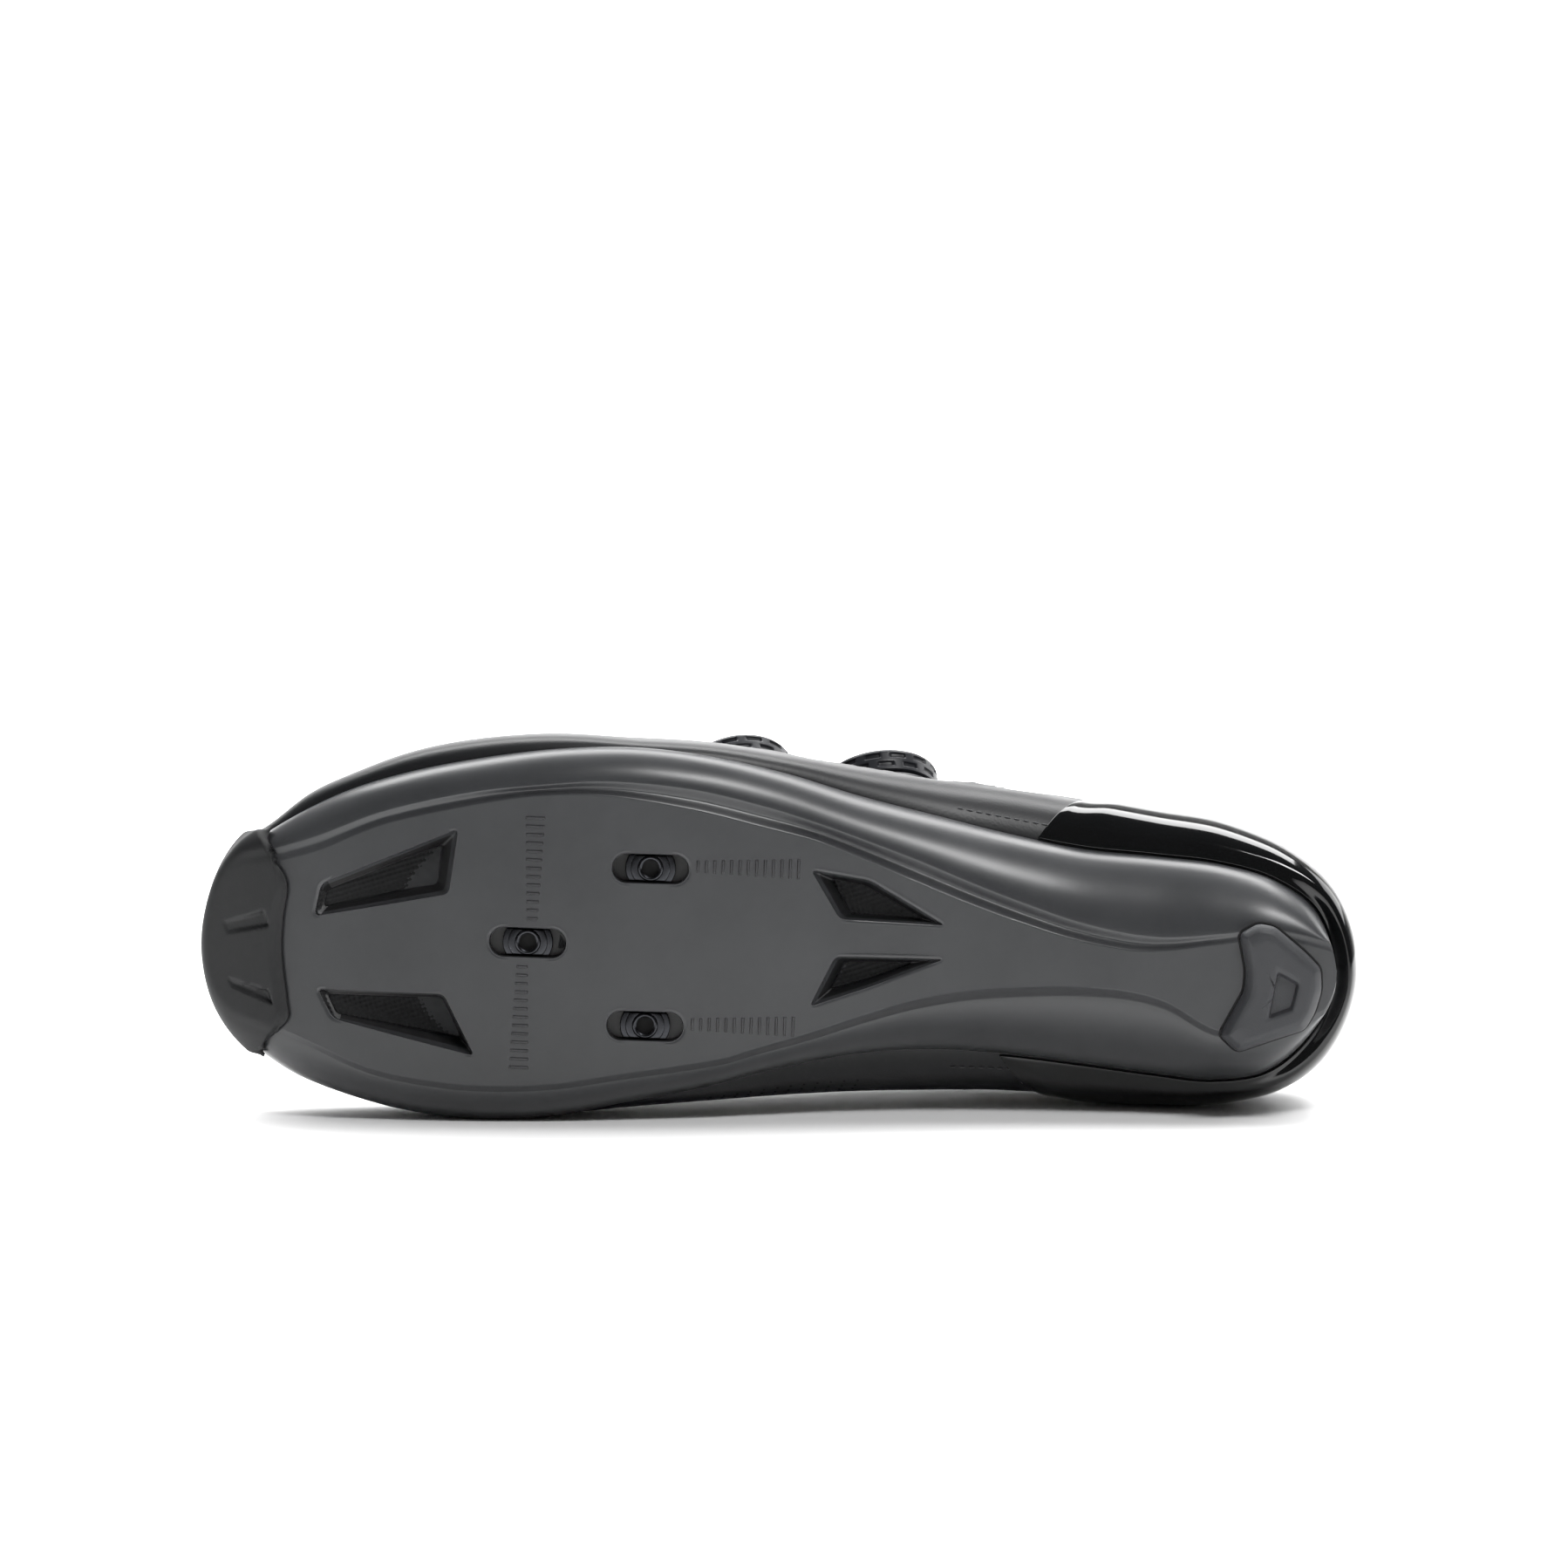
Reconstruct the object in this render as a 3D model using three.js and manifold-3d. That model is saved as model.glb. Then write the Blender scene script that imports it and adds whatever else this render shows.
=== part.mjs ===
// Road cycling shoe for the left foot, lying on its inner side as on the photo.
// Sizes are millimetres. Shoe frame: x runs from the back of the heel to the toe, y to the outer side,
// z up from the ground line of the standing shoe. A group at the end lays the shoe on the floor.
import * as THREE from 'three';
import { mergeVertices } from 'three/addons/utils/BufferGeometryUtils.js';
import ManifoldModule from 'manifold-3d';

const solids = await ManifoldModule();
solids.setup();

// Overall sizes
const GAP = 0.3;
const UPPER_WALL = 2.0;
const LASTING_MARGIN = 4.0;
const SOLE_WALL = 3.8;
const SOLE_RIM = 5.2;
const SOLE_NOSE = 2.4;
const INSOLE_THICKNESS = 3.0;
const TONGUE_THICKNESS = 3.2;
const COUNTER_WALL = 1.1;
const BUMPER_WALL = 1.7;

// Bends: a wall over the sole is square where it stands straight and rounder where it overhangs,
// the shoulder of the last is full, and the wings and the cup of the sole turn up late.
const BOXY_STRAIGHT = 4.2;
const BOXY_OVERHANG = 2.3;
const OVERHANG_RANGE = [2, 9];
const SHOULDER_BEND = 0.72;
const WING_BEND = 1.7;
const CUP_BEND = 2.4;

// Edge of the sole plate seen from below, toe first. Half-widths are taken from the cleat axis.
const SOLE_OUTLINE = [
  { x: 275.0, lateral: -3.9, medial: 3.9 },
  { x: 272.5, lateral: 10.5, medial: 16.5 },
  { x: 267.5, lateral: 18.8, medial: 24.5 },
  { x: 261.0, lateral: 23.6, medial: 30.0 },
  { x: 252.0, lateral: 29.3, medial: 35.1 },
  { x: 241.0, lateral: 34.7, medial: 38.8 },
  { x: 227.0, lateral: 39.4, medial: 41.9 },
  { x: 210.0, lateral: 43.3, medial: 43.4 },
  { x: 192.0, lateral: 46.1, medial: 42.2 },
  { x: 174.0, lateral: 47.0, medial: 38.2 },
  { x: 156.0, lateral: 45.4, medial: 34.3 },
  { x: 138.0, lateral: 41.8, medial: 29.4 },
  { x: 120.0, lateral: 36.8, medial: 25.5 },
  { x: 102.0, lateral: 32.7, medial: 23.8 },
  { x: 84.0, lateral: 28.8, medial: 24.2 },
  { x: 66.0, lateral: 25.8, medial: 25.7 },
  { x: 48.0, lateral: 24.7, medial: 27.4 },
  { x: 33.0, lateral: 23.5, medial: 28.3 },
  { x: 20.0, lateral: 20.2, medial: 25.6 },
  { x: 9.5, lateral: 12.8, medial: 15.6 },
  { x: 4.9, lateral: -2.4, medial: 2.4 },
];

// Widest line of the last, row by row beside the sole outline.
const LAST_OUTLINE = [
  { x: 275.6, lateral: -3.9, medial: 3.9 },
  { x: 272.8, lateral: 11.0, medial: 17.0 },
  { x: 267.8, lateral: 19.8, medial: 25.2 },
  { x: 261.0, lateral: 25.2, medial: 30.8 },
  { x: 252.0, lateral: 32.6, medial: 35.8 },
  { x: 241.0, lateral: 38.2, medial: 39.0 },
  { x: 227.0, lateral: 43.8, medial: 41.8 },
  { x: 210.0, lateral: 47.5, medial: 42.9 },
  { x: 192.0, lateral: 49.1, medial: 42.2 },
  { x: 174.0, lateral: 48.6, medial: 40.0 },
  { x: 156.0, lateral: 48.0, medial: 38.2 },
  { x: 138.0, lateral: 45.7, medial: 36.8 },
  { x: 120.0, lateral: 42.8, medial: 35.6 },
  { x: 102.0, lateral: 40.5, medial: 34.9 },
  { x: 84.0, lateral: 38.6, medial: 34.4 },
  { x: 66.0, lateral: 36.2, medial: 34.8 },
  { x: 48.0, lateral: 33.8, medial: 34.9 },
  { x: 32.0, lateral: 31.7, medial: 33.8 },
  { x: 17.5, lateral: 26.2, medial: 29.6 },
  { x: 6.5, lateral: 15.8, medial: 19.6 },
  { x: 1.4, lateral: -1.2, medial: 1.2 },
];

// Side view: underside of the sole on its axis, joint of sole and upper, and widest line above it.
const SIDE_LINES = [
  { x: 277, keel: 21.0, feather: 25.2, belly: 7.0 },
  { x: 262, keel: 13.5, feather: 19.6, belly: 8.0 },
  { x: 245, keel: 7.5, feather: 15.2, belly: 9.5 },
  { x: 225, keel: 3.2, feather: 11.8, belly: 11.0 },
  { x: 200, keel: 0.7, feather: 9.8, belly: 12.0 },
  { x: 175, keel: 0.9, feather: 10.0, belly: 13.0 },
  { x: 150, keel: 3.6, feather: 13.2, belly: 14.0 },
  { x: 125, keel: 7.4, feather: 18.6, belly: 14.5 },
  { x: 100, keel: 9.8, feather: 23.0, belly: 15.0 },
  { x: 75, keel: 9.4, feather: 23.8, belly: 16.0 },
  { x: 50, keel: 7.0, feather: 21.6, belly: 17.0 },
  { x: 25, keel: 5.0, feather: 18.6, belly: 18.0 },
  { x: 0, keel: 6.6, feather: 17.2, belly: 19.0 },
];

// Ridge of the last. A wall that starts at base rises to the ridge point x, y, z.
const RIDGE = [
  { base: 276, x: 256, y: -6.0, z: 43.5 },
  { base: 261, x: 251, y: -6.0, z: 45.0 },
  { base: 245, x: 242, y: -5.0, z: 47.0 },
  { base: 227, x: 227, y: -4.0, z: 50.5 },
  { base: 210, x: 210, y: -3.0, z: 55.0 },
  { base: 192, x: 192, y: -2.0, z: 60.5 },
  { base: 174, x: 174, y: -1.0, z: 67.0 },
  { base: 156, x: 156, y: 0.0, z: 74.0 },
  { base: 138, x: 138, y: 0.0, z: 81.5 },
  { base: 120, x: 121, y: 0.0, z: 89.0 },
  { base: 102, x: 105, y: 0.0, z: 96.5 },
  { base: 84, x: 90, y: -0.5, z: 103.0 },
  { base: 66, x: 76, y: -1.0, z: 106.5 },
  { base: 48, x: 67, y: -1.0, z: 108.0 },
  { base: 32, x: 62, y: -1.0, z: 108.0 },
  { base: 0, x: 60, y: -1.0, z: 108.0 },
];

// How far the upper climbs from its widest line to the ridge, in degrees: 90 closes the toe box.
const COVER = [
  { base: 276, lateral: 90, medial: 90 },
  { base: 207, lateral: 90, medial: 90 },
  { base: 202, lateral: 83, medial: 83 },
  { base: 192, lateral: 76, medial: 76 },
  { base: 168, lateral: 73, medial: 72 },
  { base: 138, lateral: 71, medial: 70 },
  { base: 116, lateral: 68, medial: 67 },
  { base: 106, lateral: 62, medial: 61 },
  { base: 96, lateral: 48, medial: 48 },
  { base: 84, lateral: 35, medial: 36 },
  { base: 66, lateral: 25, medial: 26 },
  { base: 46, lateral: 22, medial: 23 },
  { base: 28, lateral: 25, medial: 26 },
  { base: 12, lateral: 31, medial: 31 },
  { base: 0, lateral: 34, medial: 34 },
];

// Steps and ribs of the underside: edge of the platform, crest of the outer groove, foot of the inner step.
const RIBS = [
  { x: 277, platform: 12.0, crest: 14.0, step: 16.0, groove: 0.0, drop: 0.3 },
  { x: 251, platform: 19.1, crest: 22.5, step: 25.7, groove: 0.3, drop: 0.6 },
  { x: 234, platform: 26.7, crest: 29.6, step: 32.0, groove: 0.7, drop: 0.8 },
  { x: 213, platform: 32.3, crest: 35.1, step: 34.7, groove: 1.2, drop: 0.9 },
  { x: 197, platform: 35.2, crest: 37.4, step: 34.6, groove: 1.5, drop: 0.9 },
  { x: 180, platform: 35.8, crest: 38.9, step: 33.0, groove: 1.6, drop: 1.0 },
  { x: 160, platform: 33.2, crest: 37.6, step: 29.4, groove: 1.8, drop: 1.2 },
  { x: 143, platform: 29.5, crest: 34.1, step: 23.8, groove: 2.0, drop: 1.5 },
  { x: 130, platform: 26.5, crest: 30.4, step: 19.7, groove: 2.2, drop: 1.9 },
  { x: 117, platform: 21.8, crest: 26.1, step: 15.0, groove: 2.4, drop: 2.3 },
  { x: 105, platform: 17.1, crest: 21.9, step: 11.2, groove: 2.4, drop: 2.6 },
  { x: 92, platform: 12.3, crest: 16.9, step: 8.5, groove: 2.4, drop: 2.8 },
  { x: 79, platform: 8.1, crest: 12.4, step: 7.2, groove: 2.2, drop: 2.8 },
  { x: 67, platform: 4.9, crest: 8.8, step: 6.6, groove: 1.9, drop: 2.6 },
  { x: 54, platform: 3.0, crest: 6.4, step: 7.2, groove: 1.5, drop: 2.2 },
  { x: 45, platform: 3.4, crest: 6.0, step: 9.4, groove: 1.2, drop: 1.8 },
  { x: 33, platform: 5.4, crest: 7.4, step: 15.4, groove: 0.7, drop: 1.2 },
  { x: 20, platform: 7.0, crest: 9.0, step: 15.0, groove: 0.2, drop: 0.6 },
  { x: 0, platform: 3.0, crest: 5.0, step: 6.0, groove: 0.0, drop: 0.3 },
];

// Vents: corners of the opening in the underside and of the mesh window inside it.
const VENT_CORNER = 1.6;
const VENTS = [
  { name: 'front_outer', rim: [[249.5, 3.9], [248.0, 11.8], [215.5, 26.5], [217.3, 10.8]],
    window: [[247.3, 6.2], [246.6, 10.4], [219.5, 22.2], [220.6, 13.0]] },
  { name: 'front_inner', rim: [[248.1, -13.4], [217.7, -13.1], [209.8, -27.6], [244.1, -20.3]],
    window: [[245.8, -14.4], [218.2, -14.4], [213.6, -23.6], [243.3, -19.2]] },
  { name: 'rear_outer', rim: [[131.3, 19.4], [117.1, 17.3], [98.6, 7.0], [124.0, 7.8]],
    window: [[126.0, 17.2], [118.0, 15.8], [103.6, 8.2], [121.4, 9.0]] },
  { name: 'rear_inner', rim: [[130.5, -13.4], [124.8, -1.2], [98.6, -1.1], [116.0, -8.2]],
    window: [[125.6, -9.4], [122.2, -2.6], [106.0, -2.2], [116.0, -6.4]] },
];

// Three-bolt cleat pattern
const SLOT_LENGTH = 18.5;
const SLOT_WIDTH = 7.2;
const NUT_BARREL_RADIUS = 3.1;
const NUT_BORE_RADIUS = 2.2;
const NUT_PLATE_LENGTH = 12.0;
const NUT_PLATE_WIDTH = 6.4;
const NUT_PLATE_THICKNESS = 1.2;
const NUT_DEPTH = 1.0;
const CLEAT_BOLTS = [
  { name: 'front', x: 198.1, y: 0.0 },
  { name: 'rear_outer', x: 169.5, y: 18.6 },
  { name: 'rear_inner', x: 169.5, y: -19.0 },
];

// Toe bumper seen from below: its rear seam from the outer corner to the inner corner.
const BUMPER_SEAM = [
  { x: 268.0, y: 27.0 },
  { x: 262.8, y: 19.0 },
  { x: 258.5, y: 15.4 },
  { x: 256.5, y: 11.4 },
  { x: 257.2, y: 3.0 },
  { x: 257.3, y: -5.0 },
  { x: 255.6, y: -16.4 },
  { x: 255.2, y: -21.0 },
  { x: 258.8, y: -25.2 },
  { x: 266.0, y: -33.0 },
];
const BUMPER_TOP = 36.5;
const BUMPER_GROOVE_DEPTH = 0.9;
const BUMPER_GROOVES = [
  [[272.1, 1.4], [270.7, -1.5], [260.2, 0.9], [261.6, 4.9]],
  [[270.6, -11.7], [269.3, -14.1], [258.6, -18.0], [259.9, -14.3]],
];

// Heel pad
const PAD_PROUD = 4.0;
const PAD_BEVEL = 1.5;
const PAD_OUTLINE = [
  { x: 28.6, y: 7.9 }, { x: 24.2, y: 10.6 }, { x: 20.2, y: 10.0 }, { x: 12.3, y: 3.8 },
  { x: 8.9, y: 0.4 }, { x: 8.5, y: -4.8 }, { x: 9.9, y: -10.2 }, { x: 12.2, y: -14.4 },
  { x: 20.0, y: -17.2 }, { x: 28.0, y: -20.3 }, { x: 32.4, y: -16.4 }, { x: 29.8, y: -11.2 },
  { x: 26.9, y: -5.6 }, { x: 26.7, y: -0.6 },
];
const PAD_RECESS_DEPTH = 1.6;
const PAD_RECESS = [[19.3, -0.5], [14.0, -3.2], [15.4, -9.6], [21.1, -11.9], [20.0, -5.2]];

// Heel counter: its front edge leans back from the sole to its top, in rows of the wall grid.
const COUNTER_FRONT = [
  { climb: 0.0, lateral: 76.0, medial: 84.0 },
  { climb: 0.25, lateral: 70.0, medial: 76.0 },
  { climb: 0.5, lateral: 62.0, medial: 66.0 },
  { climb: 0.75, lateral: 52.0, medial: 54.0 },
  { climb: 1.0, lateral: 36.0, medial: 37.0 },
];
const COUNTER_TOP = 0.82;

// Lace dials on the outer side
const DIAL_RADIUS = 13.0;
const DIAL_KNOB_HEIGHT = 6.4;
const DIAL_BASE_RADIUS = 14.6;
const DIAL_BASE_HEIGHT = 1.9;
const DIAL_EDGE = 1.4;
const DIAL_KNURLS = 10;
const DIAL_KNURL_DEPTH = 0.5;
const DIALS = [
  { name: 'front', x: 148.5, climb: 53.0 },
  { name: 'rear', x: 113.0, climb: 49.0 },
];

// Laces and guides across the throat
const LACE_RADIUS = 0.7;
const LACE_SIDES = 8;
const LACE_LIFT = 2.1;
const LACE_EDGE_CLIMB = 64.0;
const GUIDE_LENGTH = 11.0;
const ANCHOR_LENGTH = 5.0;
const GUIDE_SPAN = 9.0;
const GUIDE_THICKNESS = 3.6;
const LACE_ROWS = [
  { name: 'front', dial: 0, far: 160.0, turn: 5.0, back: 172.0 },
  { name: 'rear', dial: 1, far: 124.0, turn: 5.0, back: 130.5 },
];

// Pose on the floor, worked out from the points the shoe rests on.
const ROLL_DEGREES = -1.8;
const YAW_DEGREES = 2.07;

// Mesh density
const RING_STEPS = 2;
const ROWS_BELOW = 3;
const ROWS_ABOVE = 6;

const COLOURS = {
  leather: 0x25272a,
  gloss: 0x0c0d0f,
  composite: 0x4a4b4d,
  rubber: 0x2f3134,
  steel: 0x3a3b3e,
  foam: 0x1d1e20,
  cord: 0x1a1b1d,
  plastic: 0x2a2b2e,
};

// Smooth reading of a table column at a position, rows in either order.
function column(table, key, name) {
  const rows = [...table].sort((a, b) => a[key] - b[key]);
  const at = rows.map((row) => row[key]);
  const values = rows.map((row) => row[name]);
  const slopes = values.map((_, k) => {
    const before = Math.max(k - 1, 0);
    const after = Math.min(k + 1, values.length - 1);
    return (values[after] - values[before]) / (at[after] - at[before]);
  });
  for (let k = 0; k < values.length - 1; k += 1) {
    const chord = (values[k + 1] - values[k]) / (at[k + 1] - at[k]);
    if (chord === 0) {
      slopes[k] = 0;
      slopes[k + 1] = 0;
    }
  }
  return (position) => {
    const p = THREE.MathUtils.clamp(position, at[0], at[at.length - 1]);
    let k = 0;
    while (k < at.length - 2 && p > at[k + 1]) k += 1;
    const span = at[k + 1] - at[k];
    const t = (p - at[k]) / span;
    const h00 = (1 + 2 * t) * (1 - t) ** 2;
    const h10 = t * (1 - t) ** 2;
    const h01 = t * t * (3 - 2 * t);
    const h11 = t * t * (t - 1);
    return h00 * values[k] + h10 * span * slopes[k] + h01 * values[k + 1] + h11 * span * slopes[k + 1];
  };
}

const keelAt = column(SIDE_LINES, 'x', 'keel');
const featherAt = column(SIDE_LINES, 'x', 'feather');
const bellyAt = column(SIDE_LINES, 'x', 'belly');
const ridgeAt = {
  x: column(RIDGE, 'base', 'x'),
  y: column(RIDGE, 'base', 'y'),
  z: column(RIDGE, 'base', 'z'),
};
const coverAt = {
  lateral: column(COVER, 'base', 'lateral'),
  medial: column(COVER, 'base', 'medial'),
};
const ribAt = {
  platform: column(RIBS, 'x', 'platform'),
  crest: column(RIBS, 'x', 'crest'),
  step: column(RIBS, 'x', 'step'),
  groove: column(RIBS, 'x', 'groove'),
  drop: column(RIBS, 'x', 'drop'),
};

// Closed outline as a ring of plan points: toe tip, outer side, heel tip, inner side.
function ringOf(outline) {
  const last = outline.length - 1;
  const outer = outline.slice(0, last).map((row) => new THREE.Vector3(row.x, row.lateral, 0));
  const inner = outline.slice(1).reverse().map((row) => new THREE.Vector3(row.x, -row.medial, 0));
  const curve = new THREE.CatmullRomCurve3([...outer, ...inner], true, 'centripetal');
  const count = (outer.length + inner.length) * RING_STEPS;
  return Array.from({ length: count }, (_, k) => {
    const point = curve.getPoint(k / count);
    const tangent = curve.getTangent(k / count);
    return { x: point.x, y: point.y, nx: -tangent.y, ny: tangent.x };
  });
}

const soleRing = ringOf(SOLE_OUTLINE);
const lastRing = ringOf(LAST_OUTLINE);
const RING = soleRing.length;
const HALF = RING / 2;
// The ring runs toe, outer side, heel: its outward normal is on the left of travel when y grows first.
const OUTWARD = Math.sign((lastRing[HALF / 2].ny) || 1);
[soleRing, lastRing].forEach((ring) => ring.forEach((point) => {
  point.nx *= OUTWARD;
  point.ny *= OUTWARD;
}));

const mirror = (k) => (RING - k) % RING;
const sideOf = (k) => (k <= HALF ? 'lateral' : 'medial');
const stationOf = (k) => (lastRing[k].x + lastRing[mirror(k)].x) / 2;

function shifted(ring, k, distance) {
  const point = ring[k];
  return { x: point.x + point.nx * distance, y: point.y + point.ny * distance };
}

// One wall of the last at ring position k, pushed out by grow. Rows 0..1 are the lasting margin,
// rows up to ROWS_BELOW the curve to the widest line, the rest the climb to the ridge.
function wallFrame(k, grow) {
  const inset = shifted(soleRing, k, -LASTING_MARGIN);
  const wide = shifted(lastRing, k, grow);
  const base = stationOf(k);
  const overhang = Math.hypot(lastRing[k].x - soleRing[k].x, lastRing[k].y - soleRing[k].y);
  const lean = THREE.MathUtils.smoothstep(overhang, ...OVERHANG_RANGE);
  const boxy = THREE.MathUtils.lerp(BOXY_STRAIGHT, BOXY_OVERHANG, lean);
  return {
    inset,
    wide,
    grow,
    belly: featherAt(soleRing[k].x) + GAP + bellyAt(base),
    ridge: { x: ridgeAt.x(base), y: ridgeAt.y(base), z: ridgeAt.z(base) + grow },
    boxy,
  };
}

function lowPoint(frame, turn) {
  const out = Math.sin(turn) ** (2 / frame.boxy);
  const up = 1 - Math.cos(turn) ** (2 / frame.boxy);
  const x = THREE.MathUtils.lerp(frame.inset.x, frame.wide.x, out);
  const foot = featherAt(x) + GAP - frame.grow;
  return new THREE.Vector3(
    x,
    THREE.MathUtils.lerp(frame.inset.y, frame.wide.y, out),
    THREE.MathUtils.lerp(foot, frame.belly, up),
  );
}

function highPoint(frame, climbDegrees) {
  const climb = THREE.MathUtils.degToRad(climbDegrees);
  const out = Math.max(Math.cos(climb), 0) ** SHOULDER_BEND;
  const up = Math.sin(climb);
  return new THREE.Vector3(
    THREE.MathUtils.lerp(frame.ridge.x, frame.wide.x, out),
    THREE.MathUtils.lerp(frame.ridge.y, frame.wide.y, out),
    THREE.MathUtils.lerp(frame.belly, frame.ridge.z, up),
  );
}

function wallRows(k, grow) {
  const frame = wallFrame(k, grow);
  const cover = coverAt[sideOf(k)](stationOf(k));
  const rows = [];
  for (let j = 0; j <= ROWS_BELOW; j += 1) {
    rows.push(lowPoint(frame, (Math.PI / 2) * (j / ROWS_BELOW)));
  }
  for (let j = 1; j <= ROWS_ABOVE; j += 1) {
    rows.push(highPoint(frame, cover * (j / ROWS_ABOVE)));
  }
  return rows;
}

// Gathers faces and writes one welded geometry.
class Skin {
  constructor() {
    this.positions = [];
  }

  triangle(a, b, c) {
    const size = (p, q) => p.distanceToSquared(q);
    if (size(a, b) < 1e-6 || size(b, c) < 1e-6 || size(c, a) < 1e-6) return;
    [a, b, c].forEach((p) => this.positions.push(p.x, p.y, p.z));
  }

  quad(a, b, c, d) {
    if (a.distanceToSquared(c) <= b.distanceToSquared(d)) {
      this.triangle(a, b, c);
      this.triangle(a, c, d);
    } else {
      this.triangle(a, b, d);
      this.triangle(b, c, d);
    }
  }

  sheet(rows, closed, flip) {
    for (let i = 0; i < rows.length - (closed ? 0 : 1); i += 1) {
      const here = rows[i];
      const next = rows[(i + 1) % rows.length];
      for (let j = 0; j < here.length - 1; j += 1) {
        if (flip) this.quad(here[j], here[j + 1], next[j + 1], next[j]);
        else this.quad(here[j], next[j], next[j + 1], here[j + 1]);
      }
    }
  }

  geometry() {
    const raw = new THREE.BufferGeometry();
    raw.setAttribute('position', new THREE.Float32BufferAttribute(this.positions, 3));
    return mergeVertices(raw, 1e-4);
  }
}

function toSolid(geometry) {
  const welded = geometry.index ? geometry : mergeVertices(geometry, 1e-4);
  const mesh = new solids.Mesh({
    numProp: 3,
    vertProperties: new Float32Array(welded.getAttribute('position').array),
    triVerts: new Uint32Array(welded.index.array),
  });
  mesh.merge();
  const solid = new solids.Manifold(mesh);
  return solid.volume() < 0 ? toSolid(turned(welded)) : solid;
}

function turned(geometry) {
  const copy = geometry.clone();
  const index = Array.from(copy.index.array);
  for (let k = 0; k < index.length; k += 3) {
    [index[k + 1], index[k + 2]] = [index[k + 2], index[k + 1]];
  }
  copy.setIndex(index);
  return copy;
}

function fromSolid(solid) {
  const mesh = solid.getMesh();
  const stride = mesh.numProp;
  const positions = [];
  for (let k = 0; k < mesh.vertProperties.length; k += stride) {
    positions.push(...mesh.vertProperties.slice(k, k + 3));
  }
  const geometry = new THREE.BufferGeometry();
  geometry.setAttribute('position', new THREE.Float32BufferAttribute(positions, 3));
  geometry.setIndex(Array.from(mesh.triVerts));
  return geometry;
}

// The upper's outside as a filled form, closed over its openings and grown: used to cut overlays.
function filledUpper(grow) {
  const skin = new Skin();
  const rings = soleRing.map((_, k) => wallRows(k, grow));
  const top = rings[0].length - 1;
  skin.sheet(rings, true, false);
  for (let k = 0; k < HALF; k += 1) {
    const across = [rings[k], rings[k + 1], rings[mirror(k + 1)], rings[mirror(k)]];
    skin.quad(across[1][0], across[0][0], across[3][0], across[2][0]);
    skin.quad(across[0][top], across[1][top], across[2][top], across[3][top]);
  }
  return toSolid(skin.geometry());
}

function upperGeometry() {
  const skin = new Skin();
  const outer = soleRing.map((_, k) => wallRows(k, 0));
  const inner = soleRing.map((_, k) => wallRows(k, -UPPER_WALL));
  skin.sheet(outer, true, false);
  skin.sheet(inner, true, true);
  for (let k = 0; k < RING; k += 1) {
    const next = (k + 1) % RING;
    skin.quad(outer[next][0], outer[k][0], inner[k][0], inner[next][0]);
    const top = outer[k].length - 1;
    const open = coverAt[sideOf(k)](stationOf(k)) < 89.99 || coverAt[sideOf(next)](stationOf(next)) < 89.99;
    if (open) skin.quad(outer[k][top], outer[next][top], inner[next][top], inner[k][top]);
  }
  return fromSolid(toSolid(skin.geometry()));
}

// Underside of the sole plate at ring position k: points from the outer edge to the inner edge.
function soleSection(k, grow) {
  const outerEdge = shifted(soleRing, k, grow);
  const innerEdge = shifted(soleRing, mirror(k), grow);
  const x = (outerEdge.x + innerEdge.x) / 2;
  const base = THREE.MathUtils.clamp(x, 0, 277);
  const width = outerEdge.y - innerEdge.y;
  const keel = keelAt(base) - grow;
  const edge = featherAt(base) + grow;
  const limit = (value, room, share) => Math.min(value, Math.max(room, 0) * share);
  const platform = limit(ribAt.platform(base), outerEdge.y, 0.78);
  const crest = limit(ribAt.crest(base), outerEdge.y, 0.86);
  const step = limit(ribAt.step(base), -innerEdge.y, 0.8);
  const groove = ribAt.groove(base);
  const drop = ribAt.drop(base);
  const at = (y, z) => {
    const share = width < 1e-6 ? 0 : (outerEdge.y - y) / width;
    return new THREE.Vector3(THREE.MathUtils.lerp(outerEdge.x, innerEdge.x, share), y, z);
  };
  const wing = (from, to, low, share) => at(
    THREE.MathUtils.lerp(from, to, share),
    low + (edge - low) * (1 - (1 - share ** WING_BEND) ** (1 / WING_BEND)),
  );
  const crestHeight = keel + groove * 0.45;
  const stepFoot = Math.max(-step - 0.8 - drop * 0.5, innerEdge.y * 0.93);
  const shares = [1, 0.96, 0.86, 0.68, 0.45, 0.2];
  const middle = [0.5, 0, -0.5];
  return {
    under: [
      ...shares.map((share) => wing(crest, outerEdge.y, crestHeight, share)),
      at(crest, crestHeight),
      at((crest + platform) / 2 + 0.4, keel + groove),
      at(platform, keel),
      ...middle.map((share) => at(share > 0 ? platform * share : step * share, keel)),
      at(-step, keel),
      at(stepFoot, keel + drop),
      ...[...shares].reverse().map((share) => wing(stepFoot, innerEdge.y, keel + drop, share)),
    ],
    edge,
    keel,
    outerEdge,
    innerEdge,
    at,
  };
}

// Top of the plate: a flat rim for the upper and a cup for the insole, from the inner to the outer edge.
function cupHeight(section, y) {
  const outerRim = section.outerEdge.y - SOLE_RIM;
  const innerRim = section.innerEdge.y + SOLE_RIM;
  const floor = Math.min(section.keel + SOLE_WALL, section.edge - 0.2);
  if (outerRim <= 0.5 || innerRim >= -0.5) return section.edge;
  const share = y >= 0 ? y / outerRim : y / innerRim;
  return floor + (section.edge - floor) * Math.min(share, 1) ** CUP_BEND;
}

const CUP_SHARES = [1, 0.85, 0.6, 0.3];

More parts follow.
